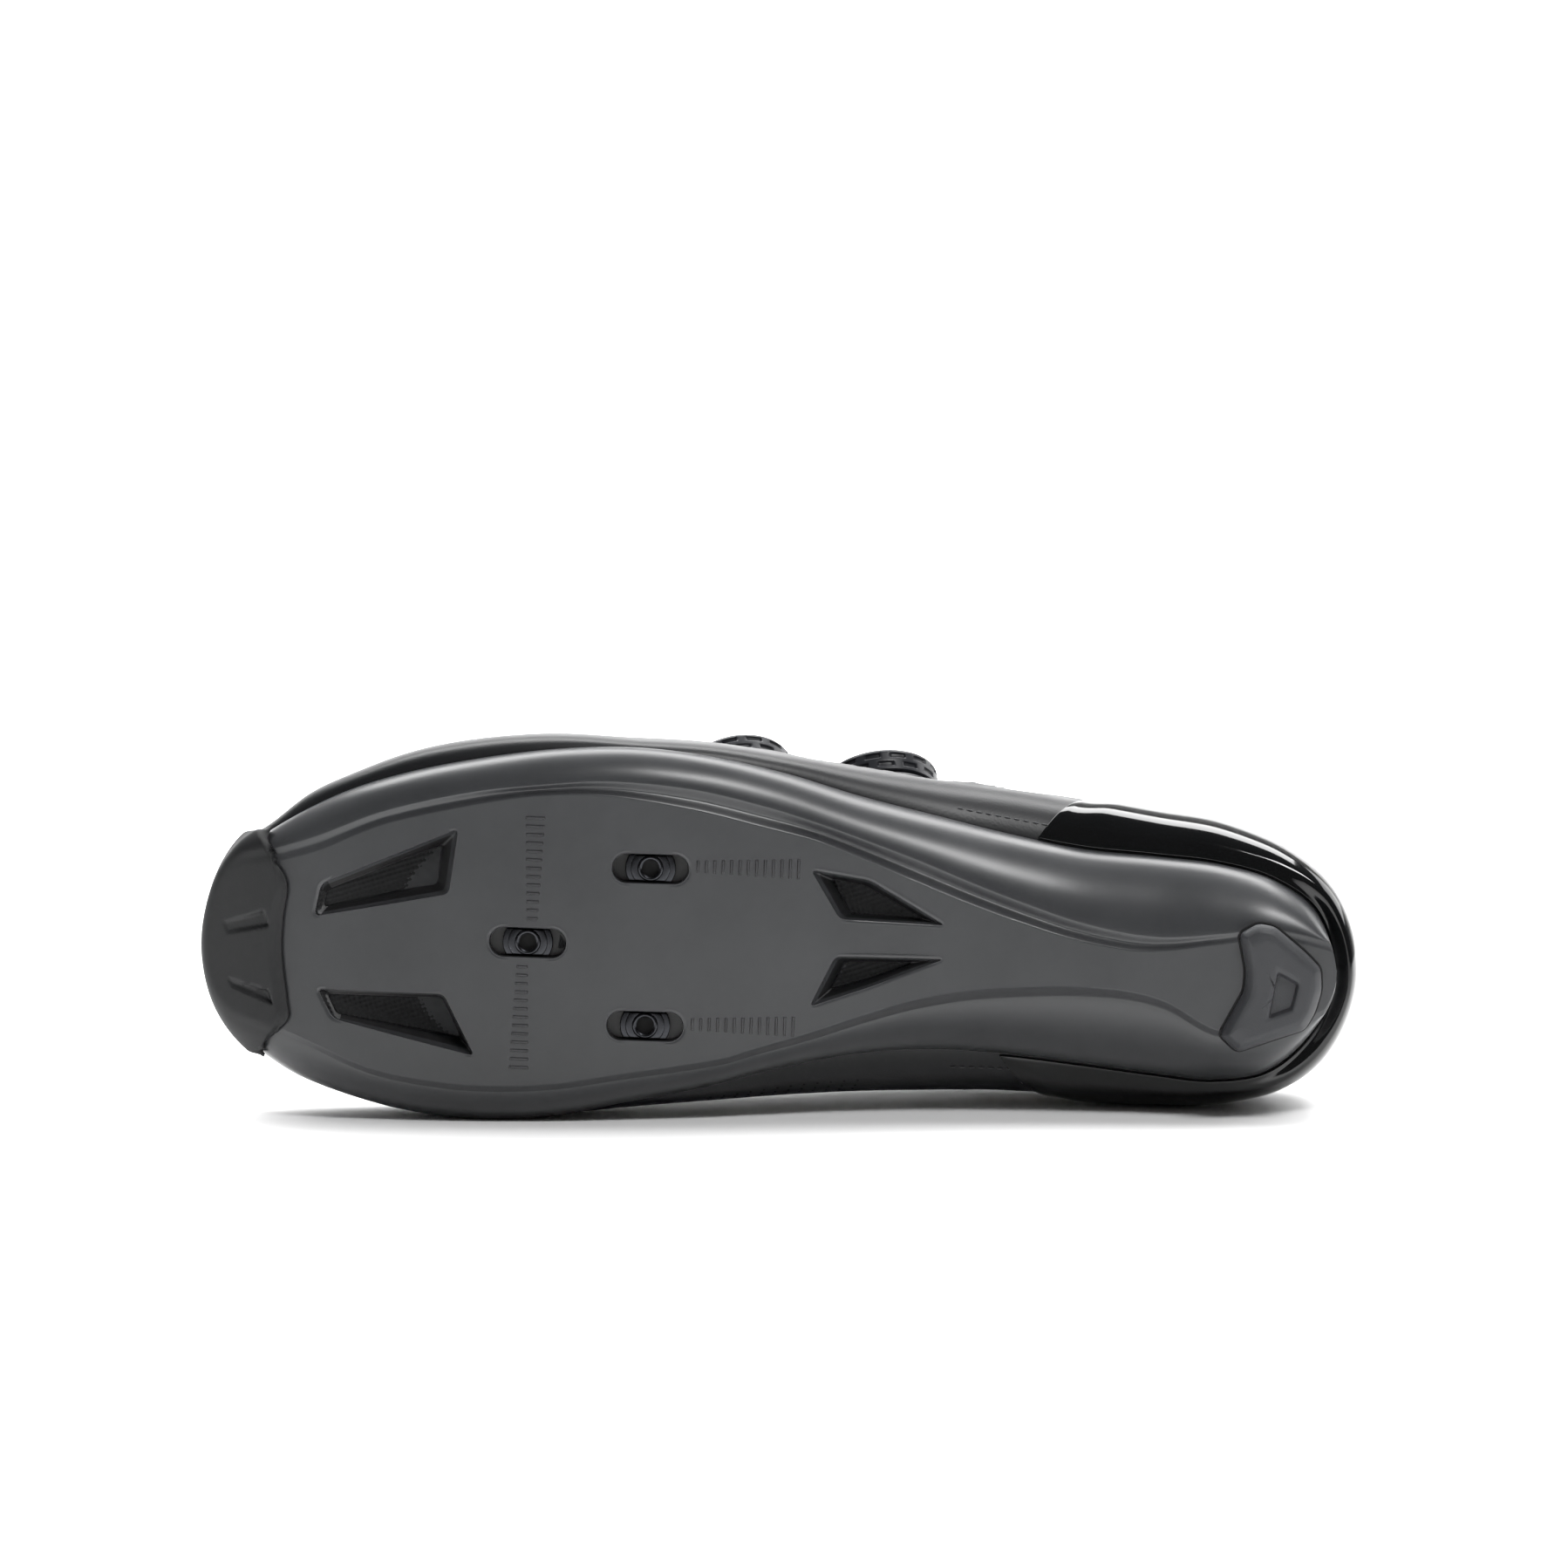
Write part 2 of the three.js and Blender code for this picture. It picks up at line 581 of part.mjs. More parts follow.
function soleTop(section) {
  const { outerEdge, innerEdge, at, edge } = section;
  const outerRim = Math.max(outerEdge.y - SOLE_RIM, outerEdge.y * 0.5);
  const innerRim = Math.min(innerEdge.y + SOLE_RIM, innerEdge.y * 0.5);
  return [
    at(innerEdge.y, edge),
    ...CUP_SHARES.map((share) => at(innerRim * share, cupHeight(section, innerRim * share))),
    at(0, cupHeight(section, 0)),
    ...[...CUP_SHARES].reverse().map((share) => at(outerRim * share, cupHeight(section, outerRim * share))),
    at(outerEdge.y, edge),
  ];
}

function flatTop(section) {
  return [section.at(section.innerEdge.y, section.edge), section.at(section.outerEdge.y, section.edge)];
}

function soleForm(grow, filled = false) {
  const skin = new Skin();
  const under = [];
  const top = [];
  for (let k = 0; k <= HALF; k += 1) {
    const section = soleSection(k, grow);
    const rim = filled ? flatTop(section) : soleTop(section);
    if (k === 0 || k === HALF) {
      const tip = shifted(soleRing, k, grow);
      const high = new THREE.Vector3(tip.x, tip.y, section.edge);
      const low = new THREE.Vector3(tip.x, tip.y, section.edge - SOLE_NOSE - 2 * grow);
      const end = section.under.length - 1;
      under.push(section.under.map((_, j) => (j === 0 || j === end ? high : low)));
      top.push(rim.map(() => high));
    } else {
      under.push(section.under);
      top.push(rim);
    }
  }
  skin.sheet(under, false, false);
  skin.sheet(top, false, false);
  return toSolid(skin.geometry());
}

// Closed plan outline with rounded corners, as plan points in order.
function rounded(corners, radius, steps = 2) {
  const points = [];
  corners.forEach((corner, k) => {
    const here = new THREE.Vector2(...corner);
    const before = new THREE.Vector2(...corners[(k + corners.length - 1) % corners.length]);
    const after = new THREE.Vector2(...corners[(k + 1) % corners.length]);
    const start = here.clone().lerp(before, Math.min(radius / here.distanceTo(before), 0.45));
    const end = here.clone().lerp(after, Math.min(radius / here.distanceTo(after), 0.45));
    const bend = new THREE.QuadraticBezierCurve(start, here, end);
    points.push(...bend.getPoints(steps));
  });
  return points;
}

// Straight or tapered prism between two plan outlines of equal length.
function prism(lower, lowZ, upper, highZ) {
  const skin = new Skin();
  const clockwise = THREE.ShapeUtils.area(lower) < 0;
  const base = clockwise ? [...lower].reverse() : lower;
  const cap = clockwise ? [...upper].reverse() : upper;
  const low = base.map((p) => new THREE.Vector3(p.x, p.y, lowZ));
  const high = cap.map((p) => new THREE.Vector3(p.x, p.y, highZ));
  const count = low.length;
  for (let k = 0; k < count; k += 1) {
    const next = (k + 1) % count;
    skin.quad(low[k], low[next], high[next], high[k]);
  }
  const faces = THREE.ShapeUtils.triangulateShape(base.map((p) => new THREE.Vector2(p.x, p.y)), []);
  faces.forEach(([a, b, c]) => {
    skin.triangle(low[a], low[c], low[b]);
    skin.triangle(high[a], high[b], high[c]);
  });
  return toSolid(skin.geometry());
}

function ventCutter(vent) {
  const rim = rounded(vent.rim, VENT_CORNER);
  const window = rounded(vent.window, VENT_CORNER * 0.7);
  const xs = vent.rim.map((corner) => corner[0]);
  const middle = (Math.min(...xs) + Math.max(...xs)) / 2;
  const low = Math.min(...vent.rim.map((corner) => keelAt(corner[0]))) - 1;
  const seat = keelAt(middle) + 2.6;
  const funnel = prism(rim, low, window, seat);
  const shaft = prism(window, seat - 0.2, window, seat + 14);
  return funnel.add(shaft);
}

function slotOutline(bolt, length, width) {
  const half = (length - width) / 2;
  const points = [];
  for (let k = 0; k <= 6; k += 1) {
    const turn = -Math.PI / 2 + (Math.PI * k) / 6;
    points.push(new THREE.Vector2(
      bolt.x + half + Math.cos(turn) * (width / 2),
      bolt.y + Math.sin(turn) * (width / 2),
    ));
  }
  for (let k = 0; k <= 6; k += 1) {
    const turn = Math.PI / 2 + (Math.PI * k) / 6;
    points.push(new THREE.Vector2(
      bolt.x - half + Math.cos(turn) * (width / 2),
      bolt.y + Math.sin(turn) * (width / 2),
    ));
  }
  return points;
}

function slotCutter(bolt) {
  const outline = slotOutline(bolt, SLOT_LENGTH, SLOT_WIDTH);
  const low = keelAt(bolt.x) - 3;
  return prism(outline, low, outline, low + 16);
}

function padSeat(grow) {
  const outline = rounded(PAD_OUTLINE.map((p) => [p.x, p.y]), 1.2, 1);
  const centre = new THREE.Vector2(20, -4.5);
  const wide = outline.map((p) => {
    const out = p.clone().sub(centre);
    return p.clone().add(out.setLength(grow));
  });
  return wide;
}

function soleSolid() {
  let sole = soleForm(0);
  VENTS.forEach((vent) => { sole = sole.subtract(ventCutter(vent)); });
  CLEAT_BOLTS.forEach((bolt) => { sole = sole.subtract(slotCutter(bolt)); });
  return sole;
}

// Heel pad: the pad outline pressed out of the heel of the plate, with a recess.
function heelPadSolid() {
  const outline = padSeat(0);
  const narrow = padSeat(-PAD_BEVEL);
  const floor = keelAt(20) - PAD_PROUD;
  const block = prism(narrow, floor, outline, floor + PAD_BEVEL)
    .add(prism(outline, floor + PAD_BEVEL, outline, floor + PAD_PROUD + 9));
  const recess = rounded(PAD_RECESS, 0.8, 1);
  const pocket = prism(recess, floor - 1, recess, floor + PAD_RECESS_DEPTH);
  return biggest(block.subtract(soleForm(GAP)).subtract(pocket));
}

function bumperSolid() {
  const outline = [
    ...BUMPER_SEAM.map((p) => new THREE.Vector2(p.x, p.y)),
    new THREE.Vector2(290, -40),
    new THREE.Vector2(290, 40),
  ];
  const zone = prism(outline, -5, outline, BUMPER_TOP);
  const outside = soleForm(BUMPER_WALL + GAP, true).add(filledUpper(BUMPER_WALL + GAP));
  const inside = soleForm(GAP, true).add(filledUpper(GAP));
  const grooveFloor = soleForm(BUMPER_WALL + GAP - BUMPER_GROOVE_DEPTH, true);
  let bumper = zone.intersect(outside).subtract(inside);
  BUMPER_GROOVES.forEach((corners) => {
    const groove = rounded(corners, 0.8, 1);
    bumper = bumper.subtract(prism(groove, 0, groove, BUMPER_TOP - 8).subtract(grooveFloor));
  });
  return biggest(bumper);
}

function biggest(solid) {
  const parts = solid.decompose();
  return parts.reduce((best, part) => (part.volume() > best.volume() ? part : best));
}

// Heel counter: a slab over the back of the upper, from the sole joint to COUNTER_TOP of the wall.
function counterGeometry() {
  const skin = new Skin();
  const reach = {
    lateral: column(COUNTER_FRONT, 'climb', 'lateral'),
    medial: column(COUNTER_FRONT, 'climb', 'medial'),
  };
  const rows = 6;
  const columns = 18;
  const wallPoint = (k, climb, grow) => {
    const frame = wallFrame(k, grow);
    const cover = coverAt[sideOf(k)](stationOf(k)) * COUNTER_TOP;
    const split = 0.45;
    if (climb < split) {
      const start = 0.45;
      return lowPoint(frame, (Math.PI / 2) * THREE.MathUtils.lerp(start, 1, climb / split));
    }
    return highPoint(frame, cover * ((climb - split) / (1 - split)));
  };
  const ringAt = (side, x) => {
    let k = HALF / 2;
    while (k < HALF && lastRing[side === 'lateral' ? k : mirror(k)].x > x) k += 1;
    const here = lastRing[side === 'lateral' ? k : mirror(k)].x;
    const before = lastRing[side === 'lateral' ? k - 1 : mirror(k - 1)].x;
    return k - (x - here) / (before - here);
  };
  const blended = (place, climb, grow) => {
    const low = Math.floor(place);
    const share = place - low;
    const a = wallPoint(low % RING, climb, grow);
    const b = wallPoint((low + 1) % RING, climb, grow);
    return a.lerp(b, share);
  };
  const grid = (grow) => {
    const rings = [];
    for (let i = 0; i <= columns; i += 1) {
      const strip = [];
      for (let j = 0; j <= rows; j += 1) {
        const climb = j / rows;
        const from = ringAt('lateral', reach.lateral(climb));
        const to = RING - ringAt('medial', reach.medial(climb));
        strip.push(blended(THREE.MathUtils.lerp(from, to, i / columns), climb, grow));
      }
      rings.push(strip);
    }
    return rings;
  };
  const outer = grid(GAP * 2 + COUNTER_WALL);
  const inner = grid(GAP * 2);
  skin.sheet(outer, false, false);
  skin.sheet(inner, false, true);
  const close = (a, b) => {
    for (let k = 0; k < a.length - 1; k += 1) skin.quad(a[k], a[k + 1], b[k + 1], b[k]);
  };
  close(outer.map((strip) => strip[rows]), inner.map((strip) => strip[rows]));
  close(inner.map((strip) => strip[0]), outer.map((strip) => strip[0]));
  close(inner[columns], outer[columns]);
  close(outer[0], inner[0]);
  return fromSolid(biggest(toSolid(skin.geometry()).subtract(filledUpper(GAP * 0.8))));
}

// Slab between two sheets of points with the same layout.
function slab(lower, upper) {
  const skin = new Skin();
  const last = upper.length - 1;
  const end = upper[0].length - 1;
  skin.sheet(upper, false, false);
  skin.sheet(lower, false, true);
  const close = (a, b) => {
    for (let k = 0; k < a.length - 1; k += 1) skin.quad(a[k], a[k + 1], b[k + 1], b[k]);
  };
  close(upper.map((row) => row[end]), lower.map((row) => row[end]));
  close(lower.map((row) => row[0]), upper.map((row) => row[0]));
  close(lower[last], upper[last]);
  close(upper[0], lower[0]);
  return toSolid(skin.geometry());
}

// Height of the cup at a plan point, read from the two sections on either side of it.
function cupAt(x, y) {
  let k = 1;
  while (k < HALF - 1 && soleSection(k, 0).at(0, 0).x > x) k += 1;
  const rear = soleSection(k, 0);
  const front = soleSection(k - 1, 0);
  const share = THREE.MathUtils.clamp((x - rear.at(0, 0).x) / (front.at(0, 0).x - rear.at(0, 0).x), 0, 1);
  return THREE.MathUtils.lerp(cupHeight(rear, y), cupHeight(front, y), share);
}

function insoleSolid() {
  const lower = [];
  const upper = [];
  const reach = SOLE_RIM + 0.4;
  for (let k = 0; k <= HALF; k += 2) {
    const outerEdge = shifted(soleRing, k, -reach);
    const innerEdge = shifted(soleRing, mirror(k), -reach);
    const low = [];
    const high = [];
    for (let j = 0; j <= 6; j += 1) {
      const share = k === 0 || k === HALF ? 0 : j / 6;
      const x = THREE.MathUtils.lerp(innerEdge.x, outerEdge.x, share);
      const y = THREE.MathUtils.lerp(innerEdge.y, outerEdge.y, share);
      const z = cupAt(x, y) + GAP + 0.25;
      low.push(new THREE.Vector3(x, y, z));
      high.push(new THREE.Vector3(x, y, z + INSOLE_THICKNESS));
    }
    lower.push(low);
    upper.push(high);
  }
  return slab(lower, upper);
}

function ringPlace(side, x) {
  let k = 1;
  while (k < HALF && lastRing[side === 'lateral' ? k : mirror(k)].x > x) k += 1;
  const here = lastRing[side === 'lateral' ? k : mirror(k)].x;
  const before = lastRing[side === 'lateral' ? k - 1 : mirror(k - 1)].x;
  return k - (x - here) / (before - here);
}

// Point on the last at station x, a climb in degrees towards the ridge, pushed out by grow.
function onLast(side, x, climb, grow) {
  const place = ringPlace(side, x);
  const low = Math.floor(place);
  const ringIndex = (k) => (side === 'lateral' ? k : mirror(k));
  const a = highPoint(wallFrame(ringIndex(low), grow), climb);
  const b = highPoint(wallFrame(ringIndex(low + 1), grow), climb);
  return a.lerp(b, place - low);
}

function normalAt(side, x, climb) {
  const along = onLast(side, x + 2, climb, 0).sub(onLast(side, x - 2, climb, 0));
  const up = onLast(side, x, climb + 2, 0).sub(onLast(side, x, climb - 2, 0));
  const normal = along.cross(up).normalize();
  const middle = new THREE.Vector3(x, 0, 40);
  return normal.dot(onLast(side, x, climb, 0).sub(middle)) < 0 ? normal.negate() : normal;
}

// Tongue: a padded sheet just under the wall of the upper, from under the toe box to above the collar.
function tongueSolid() {
  const front = 214;
  const top = 88;
  const stations = 14;
  const climbs = [56, 65, 74, 82, 90];
  const sheetAt = (depth) => {
    const rows = [];
    for (let i = 0; i <= stations; i += 1) {
      const x = THREE.MathUtils.lerp(front, top, i / stations);
      const row = [];
      climbs.forEach((climb) => row.push(onLast('medial', x, climb, -depth)));
      [...climbs].reverse().slice(1).forEach((climb) => row.push(onLast('lateral', x, climb, -depth)));
      rows.push(row);
    }
    return rows;
  };
  const high = UPPER_WALL + 0.6;
  return slab(sheetAt(high + TONGUE_THICKNESS), sheetAt(high));
}

function nutSolid(bolt) {
  const seat = keelAt(bolt.x) + NUT_DEPTH;
  const plateOutline = slotOutline(bolt, NUT_PLATE_LENGTH, NUT_PLATE_WIDTH);
  const plate = prism(plateOutline, seat + 1.2, plateOutline, seat + 1.2 + NUT_PLATE_THICKNESS);
  const circle = (radius, count) => Array.from({ length: count }, (_, k) => new THREE.Vector2(
    bolt.x + Math.cos((k / count) * Math.PI * 2) * radius,
    bolt.y + Math.sin((k / count) * Math.PI * 2) * radius,
  ));
  const barrelOutline = circle(NUT_BARREL_RADIUS, 12);
  const boreOutline = circle(NUT_BORE_RADIUS, 10);
  const barrel = prism(barrelOutline, seat, barrelOutline, seat + 2.6);
  const bore = prism(boreOutline, seat - 2, boreOutline, seat + 8);
  return plate.add(barrel).subtract(bore);
}

// Turned knob or ring with its axis along z, from a closed profile of radius and height.
function lathed(profile, segments) {
  const geometry = new THREE.LatheGeometry(profile.map(([r, z]) => new THREE.Vector2(r, z)), segments);
  geometry.rotateX(Math.PI / 2);
  return toSolid(mergeVertices(geometry.deleteAttribute('uv').deleteAttribute('normal'), 1e-4));
}

function dialPlace(dial) {
  const point = onLast('lateral', dial.x, dial.climb, 0);
  const normal = normalAt('lateral', dial.x, dial.climb);
  return { point, normal };
}

function placed(solid, origin, normal) {
  const turn = new THREE.Quaternion().setFromUnitVectors(new THREE.Vector3(0, 0, 1), normal);
  const matrix = new THREE.Matrix4().compose(origin, turn, new THREE.Vector3(1, 1, 1));
  return solid.transform(matrix.elements);
}

function dialBase(dial) {
  const { point, normal } = dialPlace(dial);
  const disc = lathed([
    [0, -7], [DIAL_BASE_RADIUS - 1, -7], [DIAL_BASE_RADIUS, 0.4],
    [DIAL_BASE_RADIUS - 0.8, DIAL_BASE_HEIGHT], [0, DIAL_BASE_HEIGHT],
  ], 28);
  const row = LACE_ROWS.find((lace) => DIALS[lace.dial] === dial);
  const hole = laceSolid(row, LACE_RADIUS + GAP);
  return biggest(placed(disc, point, normal).subtract(filledUpper(GAP)).subtract(hole));
}

function dialKnob(dial) {
  const { point, normal } = dialPlace(dial);
  const low = DIAL_BASE_HEIGHT + GAP;
  const high = low + DIAL_KNOB_HEIGHT;
  let knob = lathed([
    [0, low], [DIAL_RADIUS - 0.5, low], [DIAL_RADIUS, low + 0.6], [DIAL_RADIUS, high - DIAL_EDGE],
    [DIAL_RADIUS - 0.5, high - 0.4], [DIAL_RADIUS - DIAL_EDGE, high], [5.5, high], [5.0, high - 0.8],
    [0, high - 0.8],
  ], 24);
  for (let k = 0; k < DIAL_KNURLS; k += 1) {
    const turn = (k / DIAL_KNURLS) * Math.PI * 2;
    const dash = new THREE.BoxGeometry(DIAL_KNURL_DEPTH * 2, 2.4, 1.0);
    dash.translate(DIAL_RADIUS, 0, k % 2 ? low + 2.0 : low + 4.4);
    dash.rotateZ(turn);
    knob = knob.subtract(toSolid(mergeVertices(dash.deleteAttribute('uv').deleteAttribute('normal'), 1e-4)));
  }
  return placed(knob, point, normal);
}

function tube(points, radius, steps) {
  const path = new THREE.CatmullRomCurve3(points, false, 'centripetal');
  const shape = new THREE.Shape();
  for (let k = 0; k < LACE_SIDES; k += 1) {
    const turn = (k / LACE_SIDES) * Math.PI * 2;
    if (k === 0) shape.moveTo(radius, 0);
    else shape.lineTo(Math.cos(turn) * radius, Math.sin(turn) * radius);
  }
  const geometry = new THREE.ExtrudeGeometry(shape, { steps, extrudePath: path, bevelEnabled: false });
  return toSolid(mergeVertices(geometry.deleteAttribute('uv').deleteAttribute('normal'), 1e-4));
}

// Lace of one dial: out of the dial base, over the tongue, round the far guide and back to its anchor.
function lacePath(row) {
  const dial = DIALS[row.dial];
  const { far, back, turn } = row;
  const across = (side, x, climb, lift = LACE_LIFT) => onLast(side, x, climb, lift);
  return [
    across('lateral', THREE.MathUtils.lerp(dial.x, far, 0.72), dial.climb + 14, 1.2),
    across('lateral', THREE.MathUtils.lerp(dial.x, far, 0.9), 77),
    across('lateral', far, 86),
    across('medial', far, 76),
    across('medial', far, LACE_EDGE_CLIMB),
    across('medial', far + turn * 0.5, LACE_EDGE_CLIMB - 5),
    across('medial', far + turn, LACE_EDGE_CLIMB),
    across('medial', far + turn + 1, 76),
    across('lateral', back - 1.5, 88),
    across('lateral', back, 76),
    across('lateral', back, LACE_EDGE_CLIMB),
  ];
}

function laceSolid(row, radius) {
  return tube(lacePath(row), radius, 26);
}

// Low block on the last that holds the lace: a guide it turns in, or an anchor it ends in.
function guideSolid(side, x, climb, row, length) {
  const sheetAt = (grow) => {
    const rows = [];
    for (let i = 0; i <= 4; i += 1) {
      const strip = [];
      for (let j = 0; j <= 3; j += 1) {
        const place = x + length / 2 - (length * i) / 4;
        strip.push(onLast(side, place, climb - GUIDE_SPAN / 2 + (GUIDE_SPAN * j) / 3, grow));
      }
      rows.push(side === 'lateral' ? strip : strip.reverse());
    }
    return rows;
  };
  const block = slab(sheetAt(GAP), sheetAt(GUIDE_THICKNESS));
  return biggest(block.subtract(laceSolid(row, LACE_RADIUS + GAP)));
}

const standing = new THREE.Group();
standing.name = 'standing_shoe';

function piece(name, geometry, colour, roughness = 0.5) {
  geometry.computeVertexNormals();
  const material = new THREE.MeshStandardMaterial({ color: colour, roughness });
  material.name = `${name}_material`;
  const mesh = new THREE.Mesh(geometry, material);
  mesh.name = name;
  standing.add(mesh);
}

piece('upper', upperGeometry(), COLOURS.leather);
piece('sole_plate', fromSolid(soleSolid()), COLOURS.composite);
piece('insole', fromSolid(insoleSolid()), COLOURS.foam);
piece('tongue', fromSolid(tongueSolid()), COLOURS.leather);
piece('heel_counter', counterGeometry(), COLOURS.gloss, 0.15);
piece('toe_bumper', fromSolid(bumperSolid()), COLOURS.rubber);
piece('heel_pad', fromSolid(heelPadSolid()), COLOURS.rubber);
CLEAT_BOLTS.forEach((bolt) => piece(`cleat_nut_${bolt.name}`, fromSolid(nutSolid(bolt)), COLOURS.steel, 0.3));
DIALS.forEach((dial) => {
  piece(`dial_base_${dial.name}`, fromSolid(dialBase(dial)), COLOURS.plastic);
  piece(`dial_knob_${dial.name}`, fromSolid(dialKnob(dial)), COLOURS.plastic);
});
LACE_ROWS.forEach((row) => {
  const guide = guideSolid('medial', row.far + row.turn / 2, LACE_EDGE_CLIMB - 3, row, GUIDE_LENGTH);
  const anchor = guideSolid('lateral', row.back, LACE_EDGE_CLIMB - 2, row, ANCHOR_LENGTH);
  piece(`lace_${row.name}`, fromSolid(laceSolid(row, LACE_RADIUS)), COLOURS.cord);
  piece(`lace_guide_inner_${row.name}`, fromSolid(guide), COLOURS.plastic);
  piece(`lace_anchor_${row.name}`, fromSolid(anchor), COLOURS.plastic);
});

// The standing shoe is turned on its side, then rolled and turned to lie on its inner edge.
const onSide = new THREE.Matrix4().set(
  -1, 0, 0, 0,
  0, 0, 1, 0,
  0, 1, 0, 0,
  0, 0, 0, 1,
);
const rolled = new THREE.Matrix4().makeRotationX(THREE.MathUtils.degToRad(ROLL_DEGREES));
const yawed = new THREE.Matrix4().makeRotationY(THREE.MathUtils.degToRad(YAW_DEGREES));
standing.quaternion.setFromRotationMatrix(yawed.multiply(rolled).multiply(onSide));

// The floor is at height zero, and the shoe's box is centred over the origin.
const bounds = new THREE.Box3().setFromObject(standing, true);
const middle = bounds.getCenter(new THREE.Vector3());
standing.position.set(-middle.x, -middle.y, -bounds.min.z);

const shoe = new THREE.Group();
shoe.name = 'cycling_shoe';
shoe.add(standing);

export default shoe;
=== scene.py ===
"""Road cycling shoe for the left foot, lying on its inner side: the dressed model around the fixed frame.

Shapes are worked out in millimetres in the shoe's own frame: x from the back of the heel to the toe,
y to the outer side, z up from the ground line of the standing shoe. LyingPose turns them into metres.
"""
import logging
import math
from dataclasses import dataclass, field
from enum import Enum

import bmesh
import bpy
import numpy as np
from mathutils import Matrix, Vector


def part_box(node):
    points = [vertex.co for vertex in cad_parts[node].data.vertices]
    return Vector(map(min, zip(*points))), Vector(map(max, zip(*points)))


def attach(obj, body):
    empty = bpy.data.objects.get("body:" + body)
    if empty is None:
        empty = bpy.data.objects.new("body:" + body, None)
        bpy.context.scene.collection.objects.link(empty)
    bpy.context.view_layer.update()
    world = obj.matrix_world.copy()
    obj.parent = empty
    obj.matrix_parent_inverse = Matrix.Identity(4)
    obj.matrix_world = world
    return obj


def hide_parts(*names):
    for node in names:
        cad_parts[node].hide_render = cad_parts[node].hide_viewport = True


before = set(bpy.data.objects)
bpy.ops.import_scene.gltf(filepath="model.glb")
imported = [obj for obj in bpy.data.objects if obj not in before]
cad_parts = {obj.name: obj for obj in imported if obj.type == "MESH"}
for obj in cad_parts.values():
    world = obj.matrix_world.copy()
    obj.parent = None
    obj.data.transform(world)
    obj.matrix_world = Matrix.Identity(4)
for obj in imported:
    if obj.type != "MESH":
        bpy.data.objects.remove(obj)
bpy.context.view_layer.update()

MM = 0.001
LOG = logging.getLogger("cycling_shoe")

# Overall sizes in millimetres
GAP = 0.3
UPPER_WALL = 2.0
LASTING_MARGIN = 4.0
SOLE_NOSE = 2.4
SOLE_RIM = 5.2
SOLE_WALL = 3.8
INSOLE_THICKNESS = 3.0
TONGUE_THICKNESS = 3.2

# Edge of the sole plate seen from below: x, outer and inner half-width from the cleat axis.
SOLE_OUTLINE = (
    (275.0, -3.9, 3.9), (272.5, 10.5, 16.5), (267.5, 18.8, 24.5), (261.0, 23.6, 30.0), (252.0, 29.3, 35.1),
    (241.0, 34.7, 38.8), (227.0, 39.4, 41.9), (210.0, 43.3, 43.4), (192.0, 46.1, 42.2), (174.0, 47.0, 38.2),
    (156.0, 45.4, 34.3), (138.0, 41.8, 29.4), (120.0, 36.8, 25.5), (102.0, 32.7, 23.8), (84.0, 28.8, 24.2),
    (66.0, 25.8, 25.7), (48.0, 24.7, 27.4), (33.0, 23.5, 28.3), (20.0, 20.2, 25.6), (9.5, 12.8, 15.6),
    (4.9, -2.4, 2.4),
)

# Widest line of the last, row by row beside the sole outline.
LAST_OUTLINE = (
    (275.6, -3.9, 3.9), (272.8, 11.0, 17.0), (267.8, 19.8, 25.2), (261.0, 25.2, 30.8), (252.0, 32.6, 35.8),
    (241.0, 38.2, 39.0), (227.0, 43.8, 41.8), (210.0, 47.5, 42.9), (192.0, 49.1, 42.2), (174.0, 48.6, 40.0),
    (156.0, 48.0, 38.2), (138.0, 45.7, 36.8), (120.0, 42.8, 35.6), (102.0, 40.5, 34.9), (84.0, 38.6, 34.4),
    (66.0, 36.2, 34.8), (48.0, 33.8, 34.9), (32.0, 31.7, 33.8), (17.5, 26.2, 29.6), (6.5, 15.8, 19.6),
    (1.4, -1.2, 1.2),
)

# Side view: x, underside of the sole, joint of sole and upper, height of the widest line above it.
SIDE_LINES = (
    (277, 21.0, 25.2, 7.0), (262, 13.5, 19.6, 8.0), (245, 7.5, 15.2, 9.5), (225, 3.2, 11.8, 11.0),
    (200, 0.7, 9.8, 12.0), (175, 0.9, 10.0, 13.0), (150, 3.6, 13.2, 14.0), (125, 7.4, 18.6, 14.5),
    (100, 9.8, 23.0, 15.0), (75, 9.4, 23.8, 16.0), (50, 7.0, 21.6, 17.0), (25, 5.0, 18.6, 18.0),
    (0, 6.6, 17.2, 19.0),
)

# Ridge of the last: station of the wall, then the ridge point x, y, z that it climbs to.
RIDGE = (
    (276, 256, -6.0, 43.5), (261, 251, -6.0, 45.0), (245, 242, -5.0, 47.0), (227, 227, -4.0, 50.5),
    (210, 210, -3.0, 55.0), (192, 192, -2.0, 60.5), (174, 174, -1.0, 67.0), (156, 156, 0.0, 74.0),
    (138, 138, 0.0, 81.5), (120, 121, 0.0, 89.0), (102, 105, 0.0, 96.5), (84, 90, -0.5, 103.0),
    (66, 76, -1.0, 106.5), (48, 67, -1.0, 108.0), (32, 62, -1.0, 108.0), (0, 60, -1.0, 108.0),
)

# Climb of the upper from its widest line, in degrees, on the outer and the inner side: 90 closes the toe box.
COVER = (
    (276, 90, 90), (207, 90, 90), (202, 83, 83), (192, 76, 76), (168, 73, 72), (138, 71, 70), (116, 68, 67),
    (106, 62, 61), (96, 48, 48), (84, 35, 36), (66, 25, 26), (46, 22, 23), (28, 25, 26), (12, 31, 31),
    (0, 34, 34),
)

